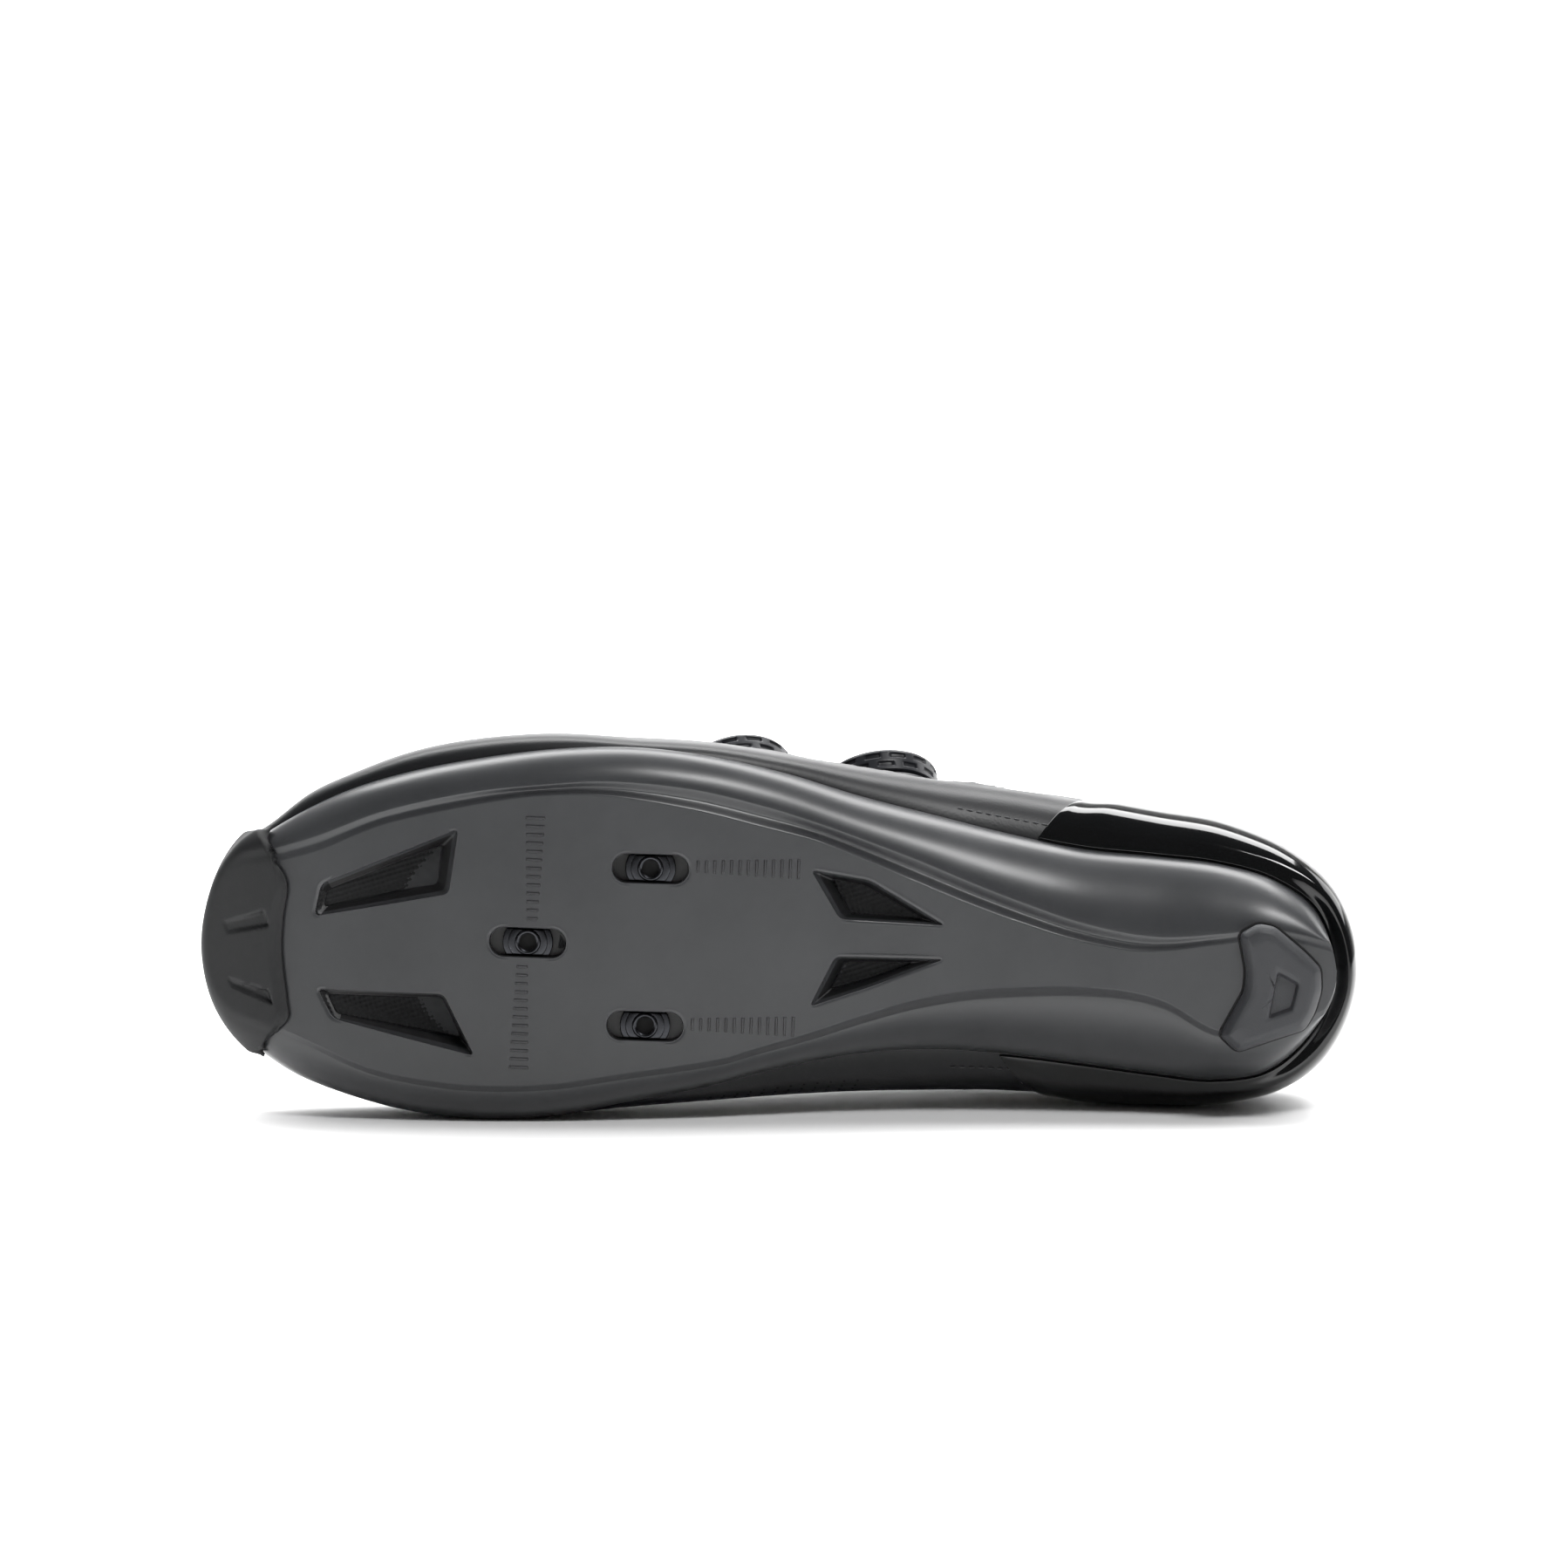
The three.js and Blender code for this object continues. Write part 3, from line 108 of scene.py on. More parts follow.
# Underside: x, edge of the platform, crest of the outer groove, foot of the inner step, groove depth, step.
RIBS = (
    (277, 12.0, 14.0, 16.0, 0.0, 0.3), (251, 19.1, 22.5, 25.7, 0.3, 0.6), (234, 26.7, 29.6, 32.0, 0.7, 0.8),
    (213, 32.3, 35.1, 34.7, 1.2, 0.9), (197, 35.2, 37.4, 34.6, 1.5, 0.9), (180, 35.8, 38.9, 33.0, 1.6, 1.0),
    (160, 33.2, 37.6, 29.4, 1.8, 1.2), (143, 29.5, 34.1, 23.8, 2.0, 1.5), (130, 26.5, 30.4, 19.7, 2.2, 1.9),
    (117, 21.8, 26.1, 15.0, 2.4, 2.3), (105, 17.1, 21.9, 11.2, 2.4, 2.6), (92, 12.3, 16.9, 8.5, 2.4, 2.8),
    (79, 8.1, 12.4, 7.2, 2.2, 2.8), (67, 4.9, 8.8, 6.6, 1.9, 2.6), (54, 3.0, 6.4, 7.2, 1.5, 2.2),
    (45, 3.4, 6.0, 9.4, 1.2, 1.8), (33, 5.4, 7.4, 15.4, 0.7, 1.2), (20, 7.0, 9.0, 15.0, 0.2, 0.6),
    (0, 3.0, 5.0, 6.0, 0.0, 0.3),
)

# Control points round the closed outlines, and the half of them that lies on one side
TURN = 2 * (len(SOLE_OUTLINE) - 1)
HALF_TURN = TURN // 2


class Side(Enum):
    """Side of the shoe, seen from the foot inside it."""

    OUTER = "outer"
    INNER = "inner"


class Pattern(Enum):
    """Surface pattern that a finish draws."""

    MOULDED = "moulded"
    GRAINED = "grained"
    WOVEN = "woven"
    BRAIDED = "braided"
    PLAIN = "plain"


def linear(code: str) -> tuple[float, float, float, float]:
    """Turn an sRGB hex colour into linear red, green, blue and alpha.

    Args:
        code: Colour as six hex digits.

    Returns:
        Linear colour with an alpha of one.
    """
    channels = [int(code[k:k + 2], 16) / 255 for k in (0, 2, 4)]
    bright = [c / 12.92 if c <= 0.04045 else ((c + 0.055) / 1.055) ** 2.4 for c in channels]
    return (*bright, 1.0)


def add_node(tree: bpy.types.NodeTree, kind: str, settings: dict,
             links: dict | None = None) -> bpy.types.Node:
    """Add a shader node with its settings and incoming links.

    Args:
        tree: Node tree that receives the node.
        kind: Blender's name of the node type.
        settings: Values by socket name or number, or by attribute of the node.
        links: Source sockets by the name or number of the socket that they feed.

    Returns:
        The new node.
    """
    node = tree.nodes.new(kind)
    for name, value in settings.items():
        if isinstance(name, str) and hasattr(node, name):
            setattr(node, name, value)
    for name, value in settings.items():
        if not (isinstance(name, str) and hasattr(node, name)):
            node.inputs[name].default_value = value
    for name, source in (links or {}).items():
        tree.links.new(source, node.inputs[name])
    return node


@dataclass(frozen=True)
class Finish:
    """Real surface: what it is made of, how it was made, and what that gives the eye."""

    name: str
    colour: str
    # Other end of the random mottle; in the glue bead its lighter specks are painted glints.
    colour_mottle: str
    roughness: float
    roughness_spread: float = 0.05
    metallic: float = 0.0
    ior: float = 1.5
    coat: float = 0.0
    coat_roughness: float = 0.1
    sheen: float = 0.0
    pattern: Pattern = Pattern.PLAIN
    pattern_mm: float = 0.5
    depth_mm: float = 0.03
    mottle_mm: float = 30.0

    def material(self) -> bpy.types.Material:
        """Return the node material of this finish, made once."""
        made = bpy.data.materials.get(self.name)
        return made if made else self._build()

    def _build(self) -> bpy.types.Material:
        """Make the node material.

        Returns:
            The new material.
        """
        material = bpy.data.materials.new(self.name)
        material.use_nodes = True
        tree = material.node_tree
        tree.nodes.clear()
        place = add_node(tree, "ShaderNodeTexCoord", {}).outputs["Object"]
        mottle = add_node(tree, "ShaderNodeTexNoise",
                          {"Scale": 1 / (self.mottle_mm * MM), "Detail": 5.0, "Roughness": 0.6},
                          {"Vector": place}).outputs["Fac"]
        shade = add_node(tree, "ShaderNodeMix",
                         {"data_type": "RGBA", 6: linear(self.colour), 7: linear(self.colour_mottle)},
                         {0: mottle}).outputs[2]
        gloss = add_node(tree, "ShaderNodeMapRange",
                         {"To Min": self.roughness - self.roughness_spread,
                          "To Max": self.roughness + self.roughness_spread},
                         {"Value": mottle}).outputs["Result"]
        shader = add_node(tree, "ShaderNodeBsdfPrincipled",
                          {"Metallic": self.metallic, "IOR": self.ior, "Coat Weight": self.coat,
                           "Coat Roughness": self.coat_roughness, "Sheen Weight": self.sheen},
                          {"Base Color": shade, "Roughness": gloss})
        height = self._height(tree, place)
        if height is not None:
            bump = add_node(tree, "ShaderNodeBump", {"Strength": 1.0, "Distance": self.depth_mm * MM},
                            {"Height": height})
            tree.links.new(bump.outputs["Normal"], shader.inputs["Normal"])
        add_node(tree, "ShaderNodeOutputMaterial", {}, {"Surface": shader.outputs["BSDF"]})
        return material

    def _height(self, tree: bpy.types.NodeTree, place: bpy.types.NodeSocket) -> bpy.types.NodeSocket | None:
        """Draw the height of the pattern.

        Args:
            tree: Node tree of the material.
            place: Socket with the place on the object in metres.

        Returns:
            Socket with the height from zero to one, or None for a plain surface.
        """
        scale = 1 / (self.pattern_mm * MM)
        if self.pattern is Pattern.MOULDED:
            return add_node(tree, "ShaderNodeTexNoise", {"Scale": scale, "Detail": 3.0, "Roughness": 0.5},
                            {"Vector": place}).outputs["Fac"]
        if self.pattern is Pattern.GRAINED:
            return add_node(tree, "ShaderNodeTexVoronoi", {"Scale": scale, "feature": "SMOOTH_F1"},
                            {"Vector": place}).outputs["Distance"]
        if self.pattern in (Pattern.WOVEN, Pattern.BRAIDED):
            turn = math.radians(45 if self.pattern is Pattern.BRAIDED else 8)
            turned = add_node(tree, "ShaderNodeMapping", {"Rotation": (turn, turn, turn)},
                              {"Vector": place}).outputs["Vector"]
            # A wave repeats every 1/20 of a unit at scale one.
            wave = {"Scale": scale / 20 * math.tau / math.pi, "wave_type": "BANDS"}
            warp = add_node(tree, "ShaderNodeTexWave", {**wave, "bands_direction": "X"}, {"Vector": turned})
            weft = add_node(tree, "ShaderNodeTexWave", {**wave, "bands_direction": "Z"}, {"Vector": turned})
            return add_node(tree, "ShaderNodeMath", {"operation": "MULTIPLY"},
                            {0: warp.outputs["Fac"], 1: weft.outputs["Fac"]}).outputs[0]
        return None


class Finishes:
    """Finishes of the shoe, named for the real materials, with two dark flat finishes that paint shade into
    slots, holes and gaps.
    """

    # Moulded carbon composite with a satin lacquer: dark, with broad soft reflections and faint cloudiness.
    composite = Finish("satin_lacquered_composite", "2a2b2d", "393a3c", 0.33, 0.05, coat=0.15,
                       coat_roughness=0.25, pattern=Pattern.MOULDED, pattern_mm=6.0, depth_mm=0.02,
                       mottle_mm=24.0)
    # Dark flat composite, darker than the plate, that paints the shade down the cleat slots, the deep vent
    # walls and round the foot of the scale lines.
    slot = Finish("composite_painted_recess_shade", "09090a", "0f0f11", 0.4, 0.04, coat=0.1, mottle_mm=9.0)
    # Embossed microfibre leather: satin, with a fine pebble grain that breaks the highlight.
    leather = Finish("embossed_microfibre", "0e0f11", "141518", 0.42, 0.05, pattern=Pattern.GRAINED,
                     pattern_mm=0.55, depth_mm=0.025, mottle_mm=35.0)
    # Polished thermoplastic urethane film: deep black with mirror-like reflections.
    gloss = Finish("polished_urethane", "040506", "070809", 0.09, 0.02, coat=0.3, coat_roughness=0.04,
                   ior=1.4, mottle_mm=50.0)
    # Moulded rubber with a fine spark-eroded texture: dull, slightly lighter than the sole.
    rubber = Finish("moulded_rubber", "0d0e10", "131416", 0.6, 0.05, pattern=Pattern.MOULDED,
                    pattern_mm=0.4, depth_mm=0.03, mottle_mm=12.0)
    pad_rubber = Finish("moulded_pad_rubber", "292a2d", "313235", 0.52, 0.05, pattern=Pattern.MOULDED,
                        pattern_mm=0.4, depth_mm=0.03, mottle_mm=12.0)
    # Black-oxide steel, turned: bright edges on a dark metal.
    steel = Finish("black_oxide_steel", "2f3033", "434447", 0.26, 0.05, metallic=1.0, mottle_mm=3.0)
    # Moulded nylon with a matt spark-eroded surface.
    nylon = Finish("moulded_nylon", "1b1c20", "222429", 0.36, 0.05, pattern=Pattern.MOULDED,
                   pattern_mm=0.5, depth_mm=0.015, mottle_mm=10.0)
    # Woven polyester mesh, threads 0.8 mm apart, which is as fine as the render can show.
    mesh = Finish("woven_polyester_mesh", "08090a", "0e0f10", 0.8, 0.05, ior=1.4, pattern=Pattern.WOVEN,
                  pattern_mm=0.8, depth_mm=0.06, mottle_mm=14.0)
    # Knitted spacer lining: soft, without any gloss.
    lining = Finish("knitted_lining", "17181a", "1f2022", 0.85, 0.05, sheen=0.3, pattern=Pattern.WOVEN,
                    pattern_mm=1.1, depth_mm=0.15, mottle_mm=20.0)
    # Braided nylon cord drawn over a steel core.
    cord = Finish("braided_nylon_cord", "161719", "222326", 0.5, 0.08, pattern=Pattern.BRAIDED,
                  pattern_mm=0.5, depth_mm=0.08, mottle_mm=5.0)
    # Twisted polyester sewing thread.
    thread = Finish("polyester_thread", "202124", "2e2f32", 0.6, 0.05, sheen=0.2, mottle_mm=3.0)
    # Glue line squeezed out of the joint: a thin wet-looking dark bead, whose lighter mottle specks are
    # painted glints.
    glue = Finish("glue_bead_painted_glints", "1a1b1d", "3c3d40", 0.16, 0.06, coat=0.6, mottle_mm=2.0)
    # Painted shade: a dark flat colour in the slits, pinholes, nut bores and the gap round the heel pad,
    # where only shadow falls.
    slit = Finish("painted_hole_shade", "050506", "0a0a0b", 0.8, 0.05, mottle_mm=2.0)
    # Matt white background paper.
    paper = Finish("matt_white_paper", "f4f4f4", "f6f6f6", 0.9, 0.02, mottle_mm=900.0)


class Profile:
    """Smooth curve through a column of a table, read at any position."""

    def __init__(self, table: tuple, number: int) -> None:
        """Fit the curve.

        Args:
            table: Rows whose first value is the position.
            number: Column of the value.
        """
        rows = sorted(table, key=lambda row: row[0])
        self.at = np.array([row[0] for row in rows], float)
        self.values = np.array([row[number] for row in rows], float)
        count = len(rows)
        before = np.maximum(np.arange(count) - 1, 0)
        after = np.minimum(np.arange(count) + 1, count - 1)
        self.slopes = (self.values[after] - self.values[before]) / (self.at[after] - self.at[before])
        level = np.nonzero(np.diff(self.values) == 0)[0]
        self.slopes[level] = 0
        self.slopes[level + 1] = 0

    def __call__(self, position: np.ndarray | float) -> np.ndarray:
        """Return the value at a position, held at the ends of the table."""
        p = np.clip(position, self.at[0], self.at[-1])
        k = np.clip(np.searchsorted(self.at, p, side="left") - 1, 0, len(self.at) - 2)
        span = self.at[k + 1] - self.at[k]
        t = (p - self.at[k]) / span
        value = (1 + 2 * t) * (1 - t) ** 2 * self.values[k] + t * (1 - t) ** 2 * span * self.slopes[k]
        return value + t * t * (3 - 2 * t) * self.values[k + 1] + t * t * (t - 1) * span * self.slopes[k + 1]


keel_at = Profile(SIDE_LINES, 1)
feather_at = Profile(SIDE_LINES, 2)
belly_at = Profile(SIDE_LINES, 3)
ridge_x_at, ridge_y_at, ridge_z_at = (Profile(RIDGE, number) for number in (1, 2, 3))
cover_outer_at, cover_inner_at = (Profile(COVER, number) for number in (1, 2))
platform_at, crest_at, step_at, groove_at, drop_at = (Profile(RIBS, number) for number in (1, 2, 3, 4, 5))


def spline(points: np.ndarray, places: np.ndarray, closed: bool) -> tuple[np.ndarray, np.ndarray]:
    """Read a centripetal Catmull-Rom curve.

    Args:
        points: Control points, one per row.
        places: Places on the curve, counted in control points.
        closed: Whether the curve returns to its first point.

    Returns:
        Points of the curve and their tangents, not normalised.
    """
    count = len(points)
    if closed:
        low = np.floor(places).astype(int)
        share = places - low
        corners = [points[(low + shift) % count] for shift in (-1, 0, 1, 2)]
    else:
        ends = np.vstack([2 * points[0] - points[1], points, 2 * points[-1] - points[-2]])
        low = np.clip(np.floor(places).astype(int), 0, count - 2)
        share = places - low
        corners = [ends[low + shift] for shift in (0, 1, 2, 3)]
    p0, p1, p2, p3 = corners
    share = share[:, None]

    def knot(a: np.ndarray, b: np.ndarray) -> np.ndarray:
        """Return the root of the distance between two rows of points."""
        return np.sqrt(np.linalg.norm(b - a, axis=1))[:, None]

    d1 = knot(p1, p2)
    d1 = np.where(d1 < 1e-4, 1.0, d1)
    d0, d2 = knot(p0, p1), knot(p2, p3)
    d0 = np.where(d0 < 1e-4, d1, d0)
    d2 = np.where(d2 < 1e-4, d1, d2)
    t1 = ((p1 - p0) / d0 - (p2 - p0) / (d0 + d1) + (p2 - p1) / d1) * d1
    t2 = ((p2 - p1) / d1 - (p3 - p1) / (d1 + d2) + (p3 - p2) / d2) * d1
    c2 = -3 * p1 + 3 * p2 - 2 * t1 - t2
    c3 = 2 * p1 - 2 * p2 + t1 + t2
    curve = p1 + t1 * share + c2 * share ** 2 + c3 * share ** 3
    return curve, t1 + 2 * c2 * share + 3 * c3 * share ** 2


def ring(outline: tuple, places: np.ndarray, grow: float | np.ndarray = 0.0) -> np.ndarray:
    """Read a closed outline, pushed outwards.

    Args:
        outline: Rows of x and the half-widths on the outer and the inner side.
        places: Places round the outline, counted in control points from the toe over the outer side.
        grow: Distance outwards in millimetres.

    Returns:
        Plan points, one per place.
    """
    outer = [(x, lateral) for x, lateral, _ in outline[:-1]]
    inner = [(x, -medial) for x, _, medial in outline[:0:-1]]
    curve, tangent = spline(np.array(outer + inner), places % TURN, closed=True)
    tangent /= np.linalg.norm(tangent, axis=1)[:, None]
    outward = np.column_stack([tangent[:, 1], -tangent[:, 0]])
    return curve + outward * (np.zeros(len(places)) + grow)[:, None]


def blend(a: np.ndarray, b: np.ndarray, share: np.ndarray | float) -> np.ndarray:
    """Return the mix of two arrays by share."""
    return a + (b - a) * share


def smooth_step(value: np.ndarray | float, low: float, high: float) -> np.ndarray:
    """Return the soft step from zero at low to one at high."""
    t = np.clip((value - low) / (high - low), 0, 1)
    return t * t * (3 - 2 * t)


class Wall:
    """Walls of the last at places round its outline."""

    # Bend of a wall over the sole: square where it stands straight up, rounder where it overhangs
    BOXY_STRAIGHT = 4.2
    BOXY_OVERHANG = 2.3
    SHOULDER = 0.72

    def __init__(self, places: np.ndarray, grow: float | np.ndarray = 0.0) -> None:
        """Work out the frame of each wall.

        Args:
            places: Places round the outline in control points.
            grow: Distance outwards from the last in millimetres.
        """
        places = np.atleast_1d(np.asarray(places, float))
        mirrored = (TURN - places) % TURN
        edge = ring(SOLE_OUTLINE, places)
        wide = ring(LAST_OUTLINE, places)
        self.outer = (places % TURN) <= HALF_TURN
        self.station = (wide[:, 0] + ring(LAST_OUTLINE, mirrored)[:, 0]) / 2
        overhang = np.linalg.norm(wide - edge, axis=1)
        self.boxy = blend(self.BOXY_STRAIGHT, self.BOXY_OVERHANG, smooth_step(overhang, 2, 9))
        self.grow = np.zeros(len(places)) + grow
        self.inset = ring(SOLE_OUTLINE, places, -LASTING_MARGIN)
        self.wide = ring(LAST_OUTLINE, places, grow)
        self.belly = feather_at(edge[:, 0]) + GAP + belly_at(self.station)
        self.ridge = np.column_stack([ridge_x_at(self.station), ridge_y_at(self.station)])
        self.ridge_z = ridge_z_at(self.station) + self.grow
        self.cover = np.where(self.outer, cover_outer_at(self.station), cover_inner_at(self.station))

    def low(self, share: np.ndarray | float) -> np.ndarray:
        """Return points from the lasting margin, share 0, to the widest line, share 1."""
        turn = np.asarray(share, float) * math.pi / 2
        out = np.sin(turn) ** (2 / self.boxy)
        rise = 1 - np.clip(np.cos(turn), 0, 1) ** (2 / self.boxy)
        plan = blend(self.inset, self.wide, (np.zeros(len(self.belly)) + out)[:, None])
        foot = feather_at(plan[:, 0]) + GAP - self.grow
        return np.column_stack([plan, blend(foot, self.belly, rise)])

    def high(self, climb: np.ndarray | float) -> np.ndarray:
        """Return points above the widest line, at a climb in degrees towards the ridge."""
        turn = np.radians(climb)
        out = np.clip(np.cos(turn), 0, 1) ** self.SHOULDER
        plan = blend(self.ridge, self.wide, (np.zeros(len(self.belly)) + out)[:, None])
        return np.column_stack([plan, blend(self.belly, self.ridge_z, np.sin(turn))])


# Places of the last by x, on each side, to find the wall at a station
_SAMPLES = np.linspace(0, HALF_TURN, 2001)
_OUTER_X = ring(LAST_OUTLINE, _SAMPLES)[:, 0]
_INNER_X = ring(LAST_OUTLINE, (TURN - _SAMPLES) % TURN)[:, 0]


def place_at(side: Side, x: np.ndarray | float) -> np.ndarray:
    """Find the place round the last at a station.

    Args:
        side: Side of the shoe.
        x: Station in millimetres from the heel.

    Returns:
        Places counted in control points.
    """
    known = _OUTER_X if side is Side.OUTER else _INNER_X
    place = np.interp(-np.asarray(x, float), -known, _SAMPLES)
    return place if side is Side.OUTER else (TURN - place) % TURN


def on_last(side: Side, x: np.ndarray | float, climb: np.ndarray | float,
            grow: np.ndarray | float = 0.0) -> np.ndarray:
    """Return points on the last at stations x and climbs in degrees, pushed out by grow."""
    x, climb = np.broadcast_arrays(np.atleast_1d(np.asarray(x, float)), np.asarray(climb, float))
    return Wall(place_at(side, x), grow).high(climb)


def normal_on_last(side: Side, x: np.ndarray | float, climb: np.ndarray | float) -> np.ndarray:
    """Return unit normals of the last that point away from the foot."""
    x = np.atleast_1d(np.asarray(x, float))
    along = on_last(side, x + 2, climb) - on_last(side, x - 2, climb)
    rise = on_last(side, x, np.asarray(climb) + 2) - on_last(side, x, np.asarray(climb) - 2)
    normal = np.cross(along, rise)
    normal /= np.linalg.norm(normal, axis=1)[:, None]
    outward = on_last(side, x, climb) - np.column_stack([x, np.zeros(len(x)), np.full(len(x), 40.0)])
    return normal * np.sign(np.sum(normal * outward, axis=1))[:, None]


class LyingPose:
    """Turn from the shoe's frame in millimetres to the frame of the floor in metres."""

    ROLL_DEGREES = -1.8
    YAW_DEGREES = 2.07

    def __init__(self) -> None:
        """Read the place of the shoe from the front cleat nut of the frame."""
        side = Matrix(((-1, 0, 0), (0, 0, 1), (0, 1, 0)))
        roll = Matrix.Rotation(math.radians(self.ROLL_DEGREES), 3, "X")
        yaw = Matrix.Rotation(math.radians(self.YAW_DEGREES), 3, "Y")
        self.turn = np.array(yaw @ roll @ side)
        low, high = (np.array(corner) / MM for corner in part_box("cleat_nut_front"))
        bolt = CleatNut.BOLTS["front"]
        centre = np.array([bolt[0], bolt[1], keel_at(bolt[0]) + CleatNut.depth + CleatNut.barrel_height / 2])
        self.shift = (low + high) / 2 - self.turn @ centre

    def __call__(self, points: np.ndarray) -> np.ndarray:
        """Return points of the shoe's frame as metres in the frame of the floor."""
        return (np.asarray(points, float) @ self.turn.T + self.shift) * MM


class Form:
    """Mesh under construction: vertices in millimetres and faces."""

    def __init__(self) -> None:
        """Start empty."""
        self.points: list[np.ndarray] = []
        self.faces: list[tuple[int, ...]] = []
        self.paint: list[int] = []
        self.count = 0

    def add_points(self, points: np.ndarray) -> int:
        """Add points and return the number of the first."""
        start = self.count
        self.points.append(np.asarray(points, float).reshape(-1, 3))
        self.count += len(self.points[-1])
        return start

    def grid(self, grid: np.ndarray, wrap_rows: bool = False, wrap_columns: bool = False,
             paint: int = 0, keep: np.ndarray | None = None) -> int:
        """Add a grid of quads.

        Args:
            grid: Points in rows and columns.
            wrap_rows: Whether the last row joins the first.
            wrap_columns: Whether the last column joins the first.
            paint: Material number of the faces.
            keep: Mask of the cells that are wanted.

        Returns:
            Number of the first point.
        """
        rows, columns = grid.shape[:2]
        start = self.add_points(grid)
        i, j = np.meshgrid(np.arange(rows - (not wrap_rows)), np.arange(columns - (not wrap_columns)),
                           indexing="ij")
        if keep is not None:
            i, j = i[keep[:i.shape[0], :i.shape[1]]], j[keep[:i.shape[0], :i.shape[1]]]
        i, j = i.ravel(), j.ravel()
        ahead, across = (i + 1) % rows, (j + 1) % columns
        quads = np.column_stack([i * columns + j, ahead * columns + j, ahead * columns + across,
                                 i * columns + across]) + start
        self.faces.extend(map(tuple, quads.tolist()))
        self.paint.extend([paint] * len(quads))
        return start

    def fan(self, loop: np.ndarray, paint: int = 0) -> None:
        """Close a loop of points with one face fan round its middle."""
        start = self.add_points(np.vstack([loop, loop.mean(axis=0)]))
        count = len(loop)
        self.faces.extend((start + k, start + (k + 1) % count, start + count) for k in range(count))
        self.paint.extend([paint] * count)

    def shell(self, outside: np.ndarray, inside: np.ndarray, wrap_rows: bool = False,
              paint: int = 0, paint_inside: int = 0) -> None:
        """Add a sheet with thickness and rounded edges.

        Args:
            outside: Grid of points of the outer face.
            inside: Grid of points of the inner face, laid out alike.
            wrap_rows: Whether the last row joins the first.
            paint: Material number of the outer face and the edges.
            paint_inside: Material number of the inner face.
        """
        self.grid(outside, wrap_rows, paint=paint)
        self.grid(inside, wrap_rows, paint=paint_inside)
        self.rim(outside[:, -1], inside[:, -1], outside[:, -1] - outside[:, -2], wrap_rows, paint)
        self.rim(outside[:, 0], inside[:, 0], outside[:, 0] - outside[:, 1], wrap_rows, paint)
        if not wrap_rows:
            self.rim(outside[0], inside[0], outside[0] - outside[1], False, paint)
            self.rim(outside[-1], inside[-1], outside[-1] - outside[-2], False, paint)

    def rim(self, outer: np.ndarray, inner: np.ndarray, away: np.ndarray, wrap: bool, paint: int = 0,
            bulge: np.ndarray | float = 1.0, keep: np.ndarray | None = None) -> None:
        """Close the gap between two edge lines with a half-round edge.

        Args:
            outer: Edge line of the outer face.
            inner: Edge line of the inner face.
            away: Directions out of the sheet at each edge point.
            wrap: Whether the last point joins the first.
            paint: Material number.
            bulge: Share of a full half-round, per point.
            keep: Mask of the cells that are wanted.
        """
        half = (outer - inner) / 2
        away = away / np.maximum(np.linalg.norm(away, axis=1), 1e-9)[:, None]
        away = away * (np.linalg.norm(half, axis=1) * bulge)[:, None]
        turns = np.linspace(0, math.pi, 6)
        lines = [inner + half * (1 + math.cos(turn)) + away * math.sin(turn) for turn in turns]
        self.grid(np.stack(lines, axis=1), wrap_rows=wrap, paint=paint, keep=keep)

    def build(self, name: str, pose: LyingPose, finishes: list[Finish], replaces: tuple[str, ...] = (),
              slot: str = "", crease_degrees: float = 35.0, weld_mm: float = 0.002) -> bpy.types.Object:
        """Make the Blender object and bind it to the shoe.

        Args:
            name: Name of the piece.
            pose: Turn into the frame of the floor.
            finishes: Finishes by paint number.
            replaces: CAD nodes that the piece stands for.
            slot: Not used.
            crease_degrees: Angle from which an edge stays sharp.
            weld_mm: Distance within which points become one.

        Returns:
            The new object.
        """
        mesh = bpy.data.meshes.new(name)
        mesh.from_pydata(pose(np.vstack(self.points)).tolist(), [], self.faces)
        mesh.polygons.foreach_set("material_index", self.paint)
        for finish in finishes:
            mesh.materials.append(finish.material())
        piece = bpy.data.objects.new(name, mesh)
        bpy.context.scene.collection.objects.link(piece)
        tidy_mesh(mesh, crease_degrees, weld_mm * MM)
        return bind(piece, replaces)


def tidy_mesh(mesh: bpy.types.Mesh, crease_degrees: float, weld: float) -> None:
    """Weld, orient and smooth a mesh.

    Args:
        mesh: Mesh to change.
        crease_degrees: Angle from which an edge stays sharp.
        weld: Distance in metres within which points become one.
    """
    work = bmesh.new()
    work.from_mesh(mesh)
    bmesh.ops.remove_doubles(work, verts=work.verts, dist=weld)
    bmesh.ops.dissolve_degenerate(work, edges=work.edges, dist=weld / 4)
    bmesh.ops.recalc_face_normals(work, faces=work.faces)
    for face in work.faces:
        face.smooth = True
    limit = math.radians(crease_degrees)
    for edge in work.edges:
        edge.smooth = len(edge.link_faces) != 2 or edge.calc_face_angle(0) < limit
    work.to_mesh(mesh)
    work.free()
    mesh.update()


def bind(piece: bpy.types.Object, replaces: tuple[str, ...] = ()) -> bpy.types.Object:
    """Let a piece ride on the shoe and stand for its CAD nodes.

    Args:
        piece: Piece to bind.
        replaces: CAD nodes that it stands for.

    Returns:
        The piece.
    """
    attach(piece, "root")
    if replaces:
        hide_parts(*replaces)
    triangles = sum(len(face.vertices) - 2 for face in piece.data.polygons)
    LOG.info("%s: %d triangles", piece.name, triangles)
    return piece


def chaikin(lines: np.ndarray, times: int) -> np.ndarray:
    """Round the corners of point rows by cutting them.

    Args:
        lines: Array of lines by points by coordinates.
        times: Number of cuts.

    Returns:
        Rounded rows with the same end points.
    """
    for _ in range(times):
        left = lines[:, :-1] * 0.75 + lines[:, 1:] * 0.25
        right = lines[:, :-1] * 0.25 + lines[:, 1:] * 0.75
        middle = np.stack([left, right], axis=2).reshape(len(lines), -1, lines.shape[2])
        lines = np.concatenate([lines[:, :1], middle, lines[:, -1:]], axis=1)
    return lines


